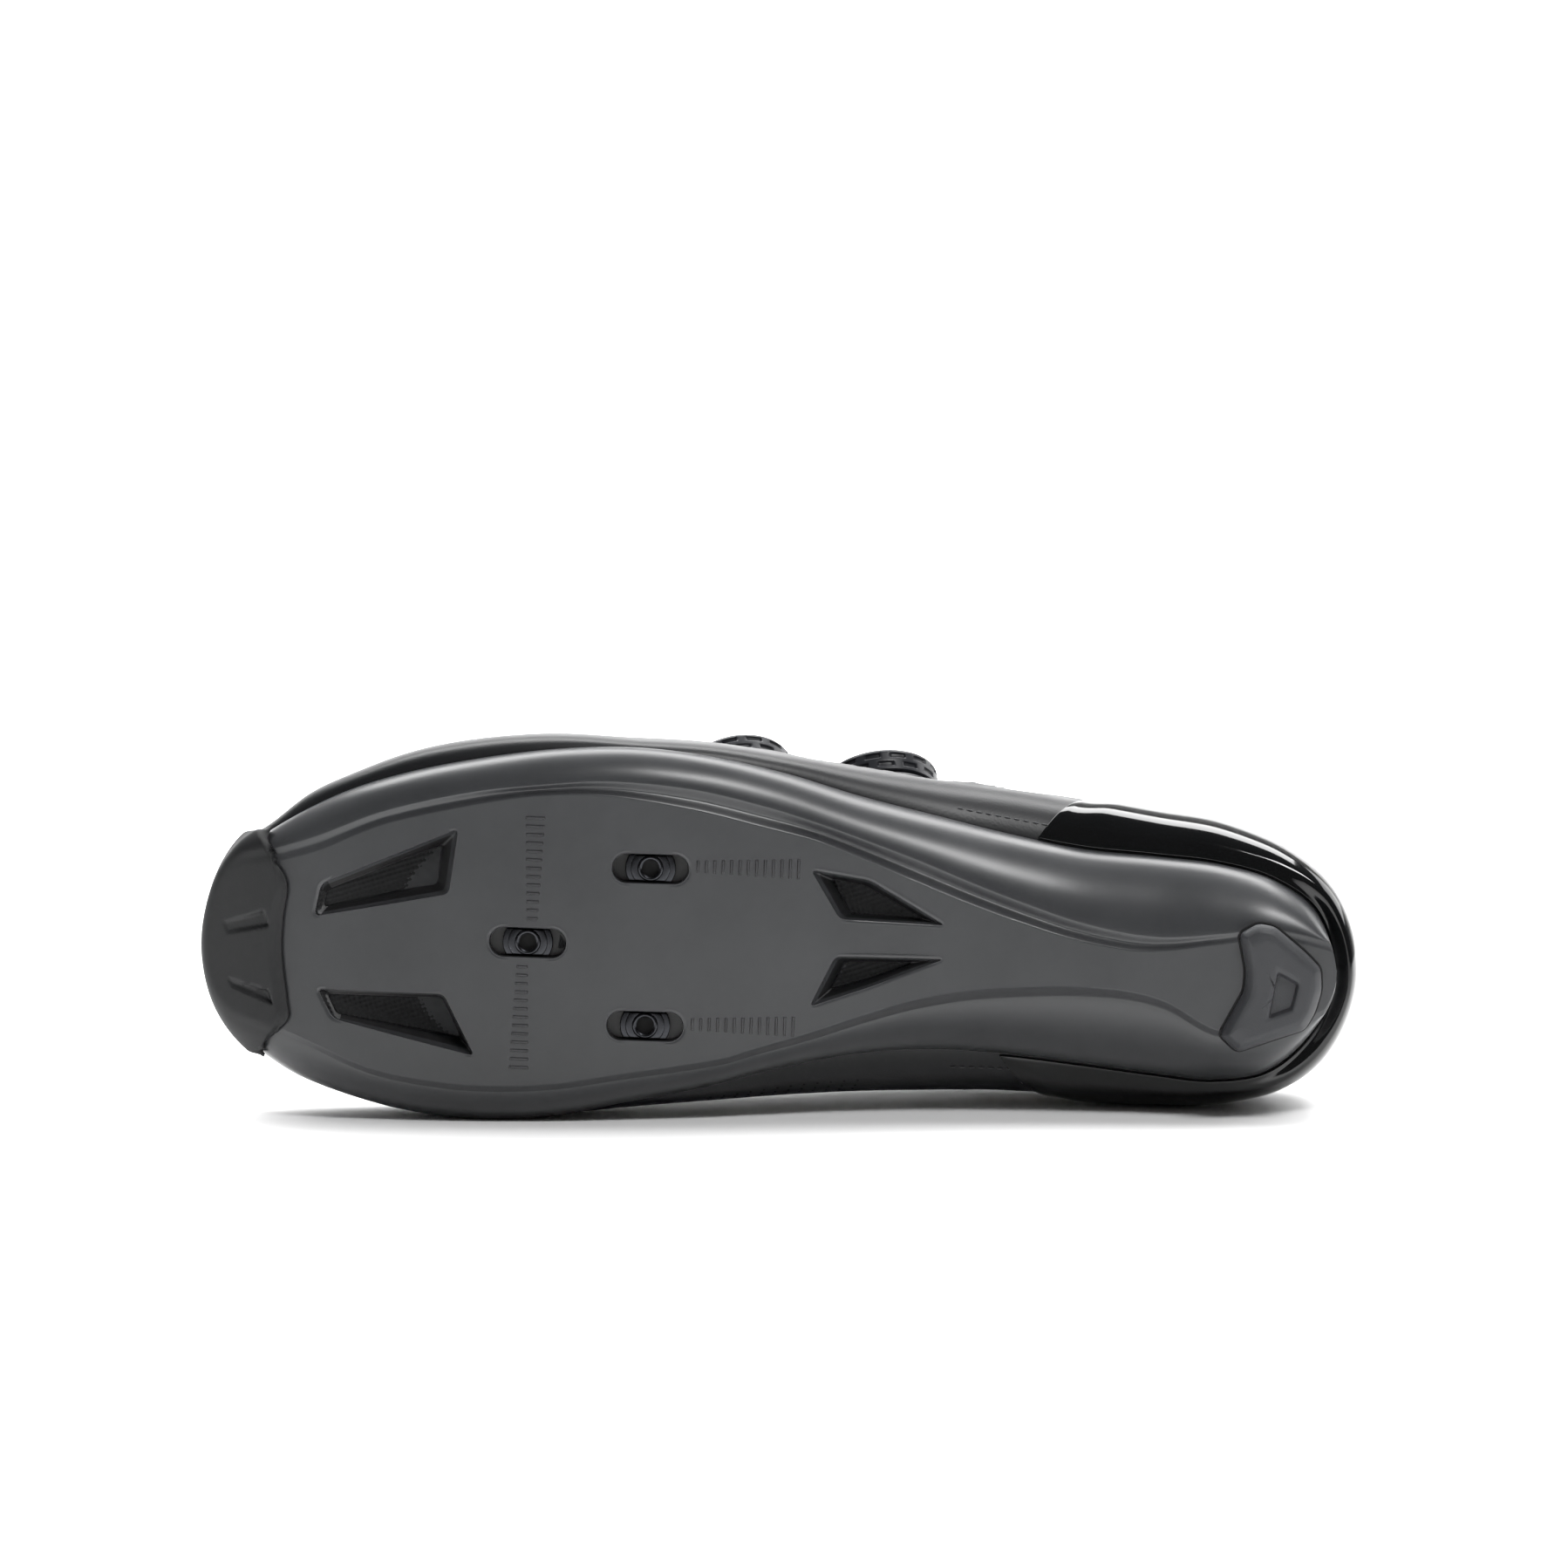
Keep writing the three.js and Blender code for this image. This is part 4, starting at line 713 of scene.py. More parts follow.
def relax(grid: np.ndarray, times: int) -> np.ndarray:
    """Smooth the inner points of a grid.

    Args:
        grid: Points in rows and columns.
        times: Number of passes.

    Returns:
        Smoothed grid with its edge kept.
    """
    grid = grid.copy()
    for _ in range(times):
        around = grid[:-2, 1:-1] + grid[2:, 1:-1] + grid[1:-1, :-2] + grid[1:-1, 2:]
        grid[1:-1, 1:-1] = grid[1:-1, 1:-1] * 0.5 + around * 0.125
    return grid


def grid_normals(grid: np.ndarray) -> np.ndarray:
    """Return unit normals at the points of a grid, across its rows and columns."""
    normal = np.cross(np.gradient(grid, axis=0), np.gradient(grid, axis=1))
    return normal / np.maximum(np.linalg.norm(normal, axis=2), 1e-12)[:, :, None]


def rounded(corners: np.ndarray, radius: float, steps: int = 6) -> np.ndarray:
    """Round the corners of a closed plan outline.

    Args:
        corners: Corner points.
        radius: Distance from each corner at which its bend starts.
        steps: Points along each bend.

    Returns:
        Plan points.
    """
    corners = np.asarray(corners, float)
    points = []
    for k, here in enumerate(corners):
        before, after = corners[k - 1], corners[(k + 1) % len(corners)]
        start = blend(here, before, min(radius / np.linalg.norm(before - here), 0.45))
        end = blend(here, after, min(radius / np.linalg.norm(after - here), 0.45))
        for t in np.linspace(0, 1, steps + 1):
            points.append((1 - t) ** 2 * start + 2 * t * (1 - t) * here + t * t * end)
    return np.array(points)


def resampled(loop: np.ndarray, count: int) -> np.ndarray:
    """Return a closed loop with evenly spaced points, starting where the given one starts."""
    closed = np.vstack([loop, loop[:1]])
    reach = np.concatenate([[0], np.cumsum(np.linalg.norm(np.diff(closed, axis=0), axis=1))])
    at = np.linspace(0, reach[-1], count, endpoint=False)
    return np.column_stack([np.interp(at, reach, closed[:, axis]) for axis in range(loop.shape[1])])


def widened(loop: np.ndarray, distance: float) -> np.ndarray:
    """Push a closed plan outline outwards.

    Args:
        loop: Plan points.
        distance: Distance outwards in millimetres, or inwards if negative.

    Returns:
        Shifted plan points.
    """
    tangent = np.roll(loop, -1, axis=0) - np.roll(loop, 1, axis=0)
    normal = np.column_stack([tangent[:, 1], -tangent[:, 0]])
    normal /= np.maximum(np.linalg.norm(normal, axis=1), 1e-9)[:, None]
    following = np.roll(loop, -1, axis=0)
    area = np.sum(loop[:, 0] * following[:, 1] - following[:, 0] * loop[:, 1]) / 2
    return loop + normal * distance * np.sign(area)


def inside_depth(points: np.ndarray, corners: np.ndarray) -> np.ndarray:
    """Measure how deep plan points lie inside a convex outline.

    Args:
        points: Plan points.
        corners: Corners of the outline in order.

    Returns:
        Distance to the nearest side, negative outside.
    """
    corners = np.asarray(corners, float)
    middle = corners.mean(axis=0)
    depth = np.full(points.shape[:-1], np.inf)
    for a, b in zip(corners, np.roll(corners, -1, axis=0)):
        side = (b - a) / np.linalg.norm(b - a)
        inward = np.array([-side[1], side[0]])
        inward *= np.sign(inward @ (middle - a))
        depth = np.minimum(depth, (points - a) @ inward)
    return depth


def tube(form: Form, path: np.ndarray, radius: np.ndarray | float, sides: int = 12, closed: bool = False,
         paint: int = 0) -> None:
    """Add a round tube along a path.

    Args:
        form: Form that receives the tube.
        path: Points of the path in millimetres.
        radius: Radius, or one per point.
        sides: Points round the tube.
        closed: Whether the path returns to its first point.
        paint: Material number.
    """
    ahead = np.roll(path, -1, axis=0) - np.roll(path, 1, axis=0)
    if not closed:
        ahead[0], ahead[-1] = path[1] - path[0], path[-1] - path[-2]
    ahead /= np.maximum(np.linalg.norm(ahead, axis=1), 1e-9)[:, None]
    normal = np.cross(ahead[0], (0.3, 0.2, 1.0))
    radius = np.zeros(len(path)) + radius
    rings = []
    for k, direction in enumerate(ahead):
        normal = normal - direction * (normal @ direction)
        normal /= np.linalg.norm(normal)
        other = np.cross(direction, normal)
        turn = np.arange(sides) / sides * math.tau
        rings.append(path[k] + radius[k] * (np.cos(turn)[:, None] * normal + np.sin(turn)[:, None] * other))
    grid = np.array(rings)
    form.grid(grid, wrap_rows=closed, wrap_columns=True, paint=paint)
    if not closed:
        form.fan(grid[0], paint)
        form.fan(grid[-1], paint)


def dashes(form: Form, path: np.ndarray, length: float, pitch: float, radius: float, paint: int = 0) -> None:
    """Add short rounded stitches along a path.

    Args:
        form: Form that receives the stitches.
        path: Points of the path in millimetres.
        length: Length of a stitch.
        pitch: Distance from stitch to stitch.
        radius: Thickness of the thread over two.
        paint: Material number.
    """
    reach = np.concatenate([[0], np.cumsum(np.linalg.norm(np.diff(path, axis=0), axis=1))])
    for start in np.arange(0, reach[-1] - length, pitch):
        at = start + np.linspace(0, length, 4)
        piece = np.column_stack([np.interp(at, reach, path[:, axis]) for axis in range(3)])
        tube(form, piece, radius * np.array([0.45, 1.0, 1.0, 0.45]), sides=6, paint=paint)


def turned(profile: np.ndarray, segments: int) -> np.ndarray:
    """Return a grid of points from a profile of radius and height turned about z."""
    turn = np.arange(segments) / segments * math.tau
    return np.stack([np.outer(np.cos(turn), profile[:, 0]), np.outer(np.sin(turn), profile[:, 0]),
                     np.tile(profile[:, 1], (segments, 1))], axis=2)


def standing(points: np.ndarray, origin: np.ndarray, normal: np.ndarray) -> np.ndarray:
    """Stand points that are built along z on a surface.

    Args:
        points: Points about their own origin.
        origin: Point of the surface.
        normal: Direction that z takes.

    Returns:
        Placed points.
    """
    turn = np.array(Vector((0, 0, 1)).rotation_difference(Vector(normal)).to_matrix())
    return points @ turn.T + origin


@dataclass
class SolePlate:
    """Stiff composite plate with its side groove, inner step, vents, cleat slots and scales."""

    pose: LyingPose
    stations: int = 250
    rib_cuts: int = 2
    guard: float = 0.5
    wing_power: float = 1.7
    cup_power: float = 2.4
    vent_corner: float = 1.6
    vent_depth: float = 3.4
    slot_length: float = 18.5
    slot_width: float = 7.2
    slot_floor: float = 4.2
    tick_pitch: float = 2.0
    tick_width: float = 0.55
    tick_height: float = 0.35
    mesh_pitch: float = 0.8
    vents: dict = field(default_factory=lambda: {
        "front_outer": (((249.5, 3.9), (248.0, 11.8), (215.5, 26.5), (217.3, 10.8)),
                        ((247.3, 6.2), (246.6, 10.4), (219.5, 22.2), (220.6, 13.0))),
        "front_inner": (((248.1, -13.4), (217.7, -13.1), (209.8, -27.6), (244.1, -20.3)),
                        ((245.8, -14.4), (218.2, -14.4), (213.6, -23.6), (243.3, -19.2))),
        "rear_outer": (((131.3, 19.4), (117.1, 17.3), (98.6, 7.0), (124.0, 7.8)),
                       ((126.0, 17.2), (118.0, 15.8), (103.6, 8.2), (121.4, 9.0))),
        "rear_inner": (((130.5, -13.4), (124.8, -1.2), (98.6, -1.1), (116.0, -8.2)),
                       ((125.6, -9.4), (122.2, -2.6), (106.0, -2.2), (116.0, -6.4))),
    })

    def section(self, places: np.ndarray, grow: float = 0.0) -> tuple[np.ndarray, np.ndarray]:
        """Work out cross-sections of the plate.

        Args:
            places: Places from the toe, 0, to the heel, in control points.
            grow: Distance outwards in millimetres.

        Returns:
            Rows of points of the underside from the outer to the inner edge, and rows of the top.
        """
        outer = ring(SOLE_OUTLINE, places, grow)
        inner = ring(SOLE_OUTLINE, TURN - places, grow)
        x = np.clip((outer[:, 0] + inner[:, 0]) / 2, 0, 277)
        keel, edge = keel_at(x) - grow, feather_at(x) + grow
        yo, yi = outer[:, 1], inner[:, 1]
        platform = np.minimum(platform_at(x), np.maximum(yo, 0) * 0.78)
        crest = np.minimum(crest_at(x), np.maximum(yo, 0) * 0.86)
        step = np.minimum(step_at(x), np.maximum(-yi, 0) * 0.8)
        groove, drop = groove_at(x), drop_at(x)
        ridge = keel + groove * 0.45
        foot = np.maximum(-step - 0.8 - drop * 0.5, yi * 0.93)
        shares = (1, 0.99, 0.975, 0.95, 0.91, 0.86, 0.78, 0.68, 0.57, 0.45, 0.33, 0.2, 0.1, 0.04)

        def wing(start: np.ndarray, end: np.ndarray, low: np.ndarray, share: float) -> tuple:
            """Return y and z of a point on a wing, which turns up to the edge."""
            rise = 1 - (1 - share ** self.wing_power) ** (1 / self.wing_power)
            return blend(start, end, share), low + (edge - low) * rise

        line = [wing(crest, yo, ridge, share) for share in shares]
        bottom = blend(platform, crest, 0.5)
        flat = np.minimum(0.3, (crest - platform) * 0.2)
        line += [(crest, ridge), (bottom + flat, keel + groove), (bottom - flat, keel + groove)]
        line += [(platform, keel),
                 (platform - np.minimum(self.guard, platform * 0.3), keel)]
        line += [(platform * share, keel) for share in (0.6, 0.3)] + [(yo * 0, keel)]
        line += [(-step * share, keel) for share in (0.3, 0.6)]
        line += [(-step + np.minimum(self.guard, step * 0.3), keel), (-step, keel), (foot, keel + drop)]
        line += [wing(foot, yi, keel + drop, share) for share in reversed(shares)]
        y = np.stack([point[0] for point in line], axis=1)
        z = np.stack([point[1] for point in line], axis=1)
        under = self._rows(outer, inner, y, z)
        rim_outer = np.maximum(yo - SOLE_RIM, yo * 0.5)
        rim_inner = np.minimum(yi + SOLE_RIM, yi * 0.5)
        floor = np.minimum(keel + SOLE_WALL, edge - 0.2)
        cups = (1, 0.85, 0.6, 0.3, 0)
        top = [(yi, edge)]
        top += [(rim_inner * cup, floor + (edge - floor) * cup ** self.cup_power) for cup in cups]
        top += [(rim_outer * cup, floor + (edge - floor) * cup ** self.cup_power) for cup in reversed(cups)]
        top += [(yo, edge)]
        upside = self._rows(outer, inner, np.stack([p[0] for p in top], axis=1),
                            np.stack([p[1] for p in top], axis=1))
        for row, place in ((0, places[0]), (-1, places[-1])):
            if place in (0, HALF_TURN):
                tip = np.array([outer[row, 0], outer[row, 1], edge[row]])
                upside[row] = tip
                under[row] = tip - (0, 0, SOLE_NOSE + 2 * grow)
                under[row, 0] = under[row, -1] = tip
        return chaikin(under, self.rib_cuts), upside

    @staticmethod
    def _rows(outer: np.ndarray, inner: np.ndarray, y: np.ndarray, z: np.ndarray) -> np.ndarray:
        """Return rows of points at widths y and heights z between the two edges."""
        width = np.maximum(outer[:, 1] - inner[:, 1], 1e-6)[:, None]
        share = (outer[:, 1][:, None] - y) / width
        return np.stack([blend(outer[:, :1], inner[:, :1], share), y, z], axis=2)

    def under_height(self, points: np.ndarray) -> np.ndarray:
        """Return the height of the underside at plan points."""
        places = np.linspace(0, HALF_TURN, 400)
        rows, _ = self.section(places)
        middle = rows[:, :, 0].mean(axis=1)
        place = np.interp(-points[:, 0], -middle, np.arange(len(places)))
        height = np.empty(len(points))
        for k, (point, at) in enumerate(zip(points, place)):
            low = min(int(at), len(places) - 2)
            pair = [np.interp(-point[1], -rows[i, :, 1], rows[i, :, 2]) for i in (low, low + 1)]
            height[k] = blend(pair[0], pair[1], at - low)
        return height

    def stadium(self, x: float, y: float, length: float, width: float) -> np.ndarray:
        """Return the plan outline of a slot with round ends."""
        turn = np.linspace(-math.pi / 2, math.pi / 2, 17)
        half = (length - width) / 2
        cap = np.column_stack([np.cos(turn), np.sin(turn)]) * width / 2
        return np.vstack([cap + (x + half, y), -cap + (x - half, y)])

    def cutters(self) -> bpy.types.Object:
        """Return one object with the prisms that cut the vents and slots."""
        form = Form()
        outlines = [rounded(rim, self.vent_corner) for rim, _ in self.vents.values()]
        outlines += [self.stadium(x, y, self.slot_length, self.slot_width)
                     for x, y in CleatNut.BOLTS.values()]
        for outline in outlines:
            low = keel_at(outline[:, 0]).min() - 2
            levels = [np.column_stack([outline, np.full(len(outline), z)]) for z in (low, low + 20)]
            form.grid(np.stack(levels), wrap_columns=True)
            form.fan(levels[0])
            form.fan(levels[1])
        mesh = bpy.data.meshes.new("cutters")
        mesh.from_pydata(self.pose(np.vstack(form.points)).tolist(), [], form.faces)
        tidy_mesh(mesh, 30, 0.001 * MM)
        cutter = bpy.data.objects.new("cutters", mesh)
        bpy.context.scene.collection.objects.link(cutter)
        return cutter

    def build(self) -> None:
        """Build the plate, its vent funnels, slot walls, mesh windows and scales."""
        form = Form()
        under, top = self.section(np.linspace(0, HALF_TURN, self.stations))
        form.grid(under)
        form.grid(top)
        plate = form.build("sole_plate_shell", self.pose, [Finishes.composite], ("sole_plate",), "composite")
        cutter = self.cutters()
        cut = plate.modifiers.new("openings", "BOOLEAN")
        cut.object = cutter
        cut.solver = "EXACT"
        depsgraph = bpy.context.evaluated_depsgraph_get()
        carved = bpy.data.meshes.new_from_object(plate.evaluated_get(depsgraph))
        plate.modifiers.clear()
        plate.data = carved
        bpy.data.objects.remove(cutter)
        tidy_mesh(carved, 35, 0.001 * MM)
        self.funnels()
        self.windows()
        self.scales()

    def lipped(self, form: Form, outline: np.ndarray, foot: np.ndarray, depth: float, paint: int = 0) -> None:
        """Add the wall of an opening with a soft lip over the edge of the plate.

        Args:
            form: Form that receives the wall.
            outline: Plan outline of the opening at the underside.
            foot: Plan outline at the bottom, with as many points.
            depth: Depth of the bottom below the underside.
            paint: Material number.
        """
        keel = keel_at(outline[:, 0])
        middle = keel_at(outline[:, 0].mean())
        rings = []
        lip = ((0.9, -0.012), (0.6, -0.03), (0.3, -0.01), (0.05, 0.09), (-0.1, 0.28), (-0.18, 0.6))
        for out, down in lip:
            rings.append(np.column_stack([widened(outline, out), keel + down]))
        for share in (0.3, 0.6, 0.85, 1.0):
            plan = blend(widened(outline, -0.18), foot, share)
            rings.append(np.column_stack([plan, blend(keel + 0.6, middle + depth, share)]))
        rings.append(np.column_stack([foot, np.full(len(foot), middle + depth + 1.4)]))
        form.grid(np.stack(rings[:7]), wrap_columns=True, paint=paint)
        # The deeper wall and the bottom are painted dark as shade.
        form.grid(np.stack(rings[6:]), wrap_columns=True, paint=1)

    def funnels(self) -> None:
        """Build the walls of the vents and of the cleat slots."""
        form = Form()
        for rim, window in self.vents.values():
            self.lipped(form, rounded(rim, self.vent_corner), rounded(window, self.vent_corner * 0.7),
                        self.vent_depth)
        form.build("vent_walls", self.pose, [Finishes.composite, Finishes.slot], slot="composite",
                   crease_degrees=50)
        slots = Form()
        for x, y in CleatNut.BOLTS.values():
            outline = self.stadium(x, y, self.slot_length, self.slot_width)
            self.lipped(slots, outline, widened(outline, -0.25), self.slot_floor - 1)
            floor = keel_at(x) + self.slot_floor
            # Slot floor painted dark as shade.
            slots.fan(np.column_stack([widened(outline, 0.3), np.full(len(outline), floor)]), paint=1)
        slots.build("slot_walls", self.pose, [Finishes.composite, Finishes.slot], slot="composite",
                    crease_degrees=50)

    def windows(self) -> None:
        """Build the woven mesh behind the vents, with its threads as real waves."""
        form = Form()
        for rim, window in self.vents.values():
            corners = np.array(window) + (np.array(window) - np.mean(window, axis=0)) * 0.12
            sides = np.linalg.norm(corners[1] - corners[2]), np.linalg.norm(corners[0] - corners[1])
            long = int(max(sides) / 0.2)
            wide = int(long * 0.5)
            s, t = np.meshgrid(np.linspace(0, 1, long), np.linspace(0, 1, wide), indexing="ij")
            s, t = s[:, :, None], t[:, :, None]
            near, far = blend(corners[0], corners[1], s), blend(corners[3], corners[2], s)
            plan = blend(near, far, t)
            seat = keel_at(np.mean([corner[0] for corner in rim])) + self.vent_depth + 0.5
            wave = math.tau / self.mesh_pitch
            thread = np.sin((plan[..., 0] * 0.9 + plan[..., 1] * 0.44) * wave / 2)
            cross = np.sin((plan[..., 1] * 0.9 - plan[..., 0] * 0.44) * wave / 2)
            height = seat - 0.16 * thread * cross
            form.grid(np.dstack([plan, height]))
        form.build("vent_mesh", self.pose, [Finishes.mesh], slot="composite")

    def scales(self) -> None:
        """Build the fitting scales beside the cleat slots."""
        form = Form()
        count = 13
        steps = np.arange(count)
        growth = steps / (count - 1)
        runs = []
        for sign in (1, -1):
            y = sign * (5.8 + steps * self.tick_pitch)
            runs.append((np.full(count, 198.2 - sign), y, 2.5 + 2.0 * growth, False))
        for y in (19.5, -18.2):
            runs.append((158.2 - steps * self.tick_pitch, np.full(count, y), 2.7 + 1.9 * growth, True))
        for xs, ys, lengths, along in runs:
            for x, y, length in zip(xs, ys, lengths):
                size = (self.tick_width, length) if along else (length, self.tick_width)
                half = np.array(size) / 2
                self._tick(form, np.array([x, y]), half)
        form.build("fitting_scales", self.pose, [Finishes.composite, Finishes.slot], slot="composite",
                   crease_degrees=30)

    def _tick(self, form: Form, middle: np.ndarray, half: np.ndarray) -> None:
        """Add one raised line of a scale."""
        corners = np.array([(-1, -1), (1, -1), (1, 1), (-1, 1)])
        rings = []
        for shrink, lift in ((-0.09, 0.05), (-0.07, -0.02), (0.0, -0.04), (0.12, -self.tick_height)):
            plan = middle + corners * (half - shrink)
            rings.append(np.column_stack([plan, keel_at(plan[:, 0]) + lift]))
        # A thin dark skirt round the foot of the line is painted shade.
        form.grid(np.stack(rings[:3]), wrap_columns=True, paint=1)
        form.grid(np.stack(rings[2:]), wrap_columns=True)
        form.fan(rings[-1])


@dataclass
class CleatNut:
    """Threaded barrel on a curved plate, in a cleat slot."""

    pose: LyingPose
    name: str
    BOLTS = {"front": (198.1, 0.0), "rear_outer": (169.5, 18.6), "rear_inner": (169.5, -19.0)}
    depth = 1.0
    barrel_height = 2.6
    barrel_radius: float = 3.1
    bore_radius: float = 2.15
    thread_pitch: float = 0.8
    plate_length: float = 12.0
    plate_width: float = 6.4

    def build(self) -> None:
        """Build the nut."""
        x, y = self.BOLTS[self.name]
        seat = keel_at(x) + self.depth
        form = Form()
        r, bore = self.barrel_radius, self.bore_radius
        deep = self.barrel_height
        profile = [(r, deep), (r, 0.5), (r - 0.12, 0.2), (r - 0.35, 0.03), (bore + 0.35, 0.0)]
        profile += [(bore + 0.12, 0.12)]
        for turn in range(5):
            start = 0.3 + turn * self.thread_pitch * 0.55
            profile += [(bore + 0.16, start), (bore - 0.08, start + 0.2)]
        profile += [(bore + 0.05, deep), (0.01, deep + 0.02)]
        nut = turned(np.array(profile), 64) + (x, y, seat)
        form.grid(nut, wrap_rows=True)
        # Dark disc of painted shade down the bore.
        form.fan(nut[:, -2] - (0, 0, 0.4), paint=1)
        plates = ((self.plate_length, self.plate_width, 1.25),
                  (self.plate_length - 2.6, self.plate_width - 0.3, 0.8))
        for length, width, lift in plates:
            self._arc_plate(form, x, y, length, width, seat + lift, 1.1)
        form.build(f"nut_{self.name}", self.pose, [Finishes.steel, Finishes.slit],
                   (f"cleat_nut_{self.name}",), "black_steel")

    def _arc_plate(self, form: Form, x: float, y: float, length: float, width: float, z: float,
                   thick: float) -> None:
        """Add a plate with round ends and bevelled edges round the barrel."""
        turn = np.linspace(-math.pi / 2, math.pi / 2, 15)
        radius = length / 2
        rings = []
        for shrink, lift in ((0.0, thick), (0.0, 0.22), (0.12, 0.06), (0.3, 0.0)):
            reach = radius - shrink
            side = (width / 2 - shrink) / reach
            arc = np.arcsin(side) * turn / (math.pi / 2)
            cap = np.column_stack([np.cos(arc), np.sin(arc)]) * reach
            rings.append(np.column_stack([np.vstack([cap, -cap]) + (x, y), np.full(30, z + lift)]))
        half = np.column_stack([np.cos(turn), np.sin(turn)])
        inner = np.vstack([half, -half])
        rings.append(np.column_stack([inner * (self.barrel_radius - 0.1) + (x, y), np.full(30, z)]))
        form.grid(np.stack(rings), wrap_columns=True)


@dataclass
class Upper:
    """Hollow upper: embossed shell, knitted lining, padded collar, slits and stitches."""

    pose: LyingPose
    around: int = 480
    rows_below: int = 12
    rows_above: int = 36
    collar_radius: float = 2.4
    collar_front: float = 104.0
    slit_length: float = 2.6
    slit_width: float = 0.7
    slit_pitch: float = 4.6
    # Rows of slits: climb in degrees, first and last station.
    slit_rows: tuple = ((3.0, 134.0, 92.0), (8.5, 132.0, 84.0), (14.0, 128.0, 80.0))
    # Creases: start x and share of the climb, end x and share, depth and width in millimetres.
    creases: tuple = (
        (132.0, 0.10, 112.0, 0.62, 0.35, 5.0), (104.0, 0.05, 92.0, 0.55, 0.40, 5.0),
        (168.0, 0.30, 158.0, 0.85, 0.30, 5.5), (196.0, 0.35, 186.0, 0.90, 0.45, 5.0),
        (215.0, 0.40, 207.0, 0.95, 0.40, 5.5), (84.0, 0.15, 76.0, 0.60, 0.30, 4.5),
    )

    def swell(self, wall: Wall, share: np.ndarray | float) -> np.ndarray:
        """Return how far the surface stands out at a share of the climb: creases and collar foam."""
        out = np.zeros(len(wall.station))
        for x0, s0, x1, s1, depth, width in self.creases:
            run = np.array([x1 - x0, (s1 - s0) * 45])
            offset = np.column_stack([wall.station - x0, np.zeros(len(out)) + (share - s0) * 45])
            along = np.clip(offset @ run / (run @ run), 0, 1)
            distance = np.linalg.norm(offset - along[:, None] * run, axis=1)
            out -= depth * np.exp(-(distance / width) ** 2)
            out += depth * 0.6 * np.exp(-((distance - width * 1.6) / width) ** 2)
        foam = smooth_step(-wall.station, -self.collar_front, -self.collar_front + 30)
        return out + 1.3 * foam * smooth_step(share, 0.45, 0.85)

    def grid(self, grow: float, swollen: bool) -> np.ndarray:
        """Return the grid of the wall, pushed out by grow."""
        places = np.arange(self.around) / self.around * TURN
        base = Wall(places, grow)
        rows = [base.low(j / self.rows_below) for j in range(self.rows_below + 1)]
        for j in range(1, self.rows_above + 1):
            share = j / self.rows_above
            wall = Wall(places, grow + self.swell(base, share)) if swollen else base
            rows.append(wall.high(base.cover * share))
        return np.stack(rows, axis=1)

    def build(self) -> None:
        """Build the shell and its details."""
        form = Form()
        outside, inside = self.grid(0.0, True), self.grid(-UPPER_WALL, False)
        form.grid(outside, wrap_rows=True)
        form.grid(inside, wrap_rows=True, paint=1)
        cover = Wall(np.arange(self.around) / self.around * TURN).cover
        is_open = cover < 89.99
        keep = (is_open | np.roll(is_open, -1))[:, None] & np.ones((1, 6), bool)
        form.rim(outside[:, -1], inside[:, -1], outside[:, -1] - outside[:, -3], True,
                 bulge=np.clip((90 - cover) / 10, 0, 1), keep=keep)
        form.rim(outside[:, 0], inside[:, 0], outside[:, 0] - outside[:, 1], True, bulge=0.0)
        form.build("upper_shell", self.pose, [Finishes.leather, Finishes.lining], ("upper",), "leather",
                   crease_degrees=50)
        self.collar()
        self.slits()
        self.stitching()

    def collar(self) -> None:
        """Build the padded roll that lines the collar."""
        first, last = place_at(Side.OUTER, self.collar_front)[()], place_at(Side.INNER, self.collar_front)[()]
        places = np.linspace(float(first), float(last), 140)
        wall = Wall(places, -UPPER_WALL * 0.5)
        path = wall.high(wall.cover * 0.985)
        share = np.linspace(0, 1, len(places))
        thick = self.collar_radius * np.sin(share * math.pi) ** 0.35
        inner = Wall(places, -UPPER_WALL - thick * 0.4).high(wall.cover * 0.97)
        path = blend(path, inner, 0.5)
        form = Form()
        tube(form, path, np.maximum(thick, 0.4), sides=20)
        roll = form.build("collar_padding", self.pose, [Finishes.lining], slot="leather")

    def slits(self) -> None:
        """Build the slanted slits of the outer side and the pinholes of the inner side."""
        form = Form()
        for row, (climb, first, last) in enumerate(self.slit_rows):
            for k, x in enumerate(np.arange(first, last, -self.slit_pitch)):
                for side in Side:
                    self._slit(form, side, x + row * 1.5, climb, 1 if (k + row) % 2 else -1)
        # The slits are dark patches of painted shade.
        form.build("ventilation_slits", self.pose, [Finishes.slit], slot="leather")
        holes = Form()
        turn = np.arange(10) / 10 * math.tau
        for share in (0.52, 0.62, 0.72):
            for x in np.arange(150.0, 112.0, -3.2):
                wall = Wall(place_at(Side.INNER, x + share * 6), 0.05)
                middle = wall.low(share)[0]
                ahead = Wall(place_at(Side.INNER, x + share * 6 + 0.5), 0.05).low(share)[0] - middle
                rise = wall.low(share + 0.02)[0] - middle
                ahead, rise = ahead / np.linalg.norm(ahead), rise / np.linalg.norm(rise)
                # Each pinhole is a dark disc of painted shade.
                holes.fan(middle + 0.32 * (np.cos(turn)[:, None] * ahead + np.sin(turn)[:, None] * rise))
        holes.build("pinholes", self.pose, [Finishes.slit], slot="leather")

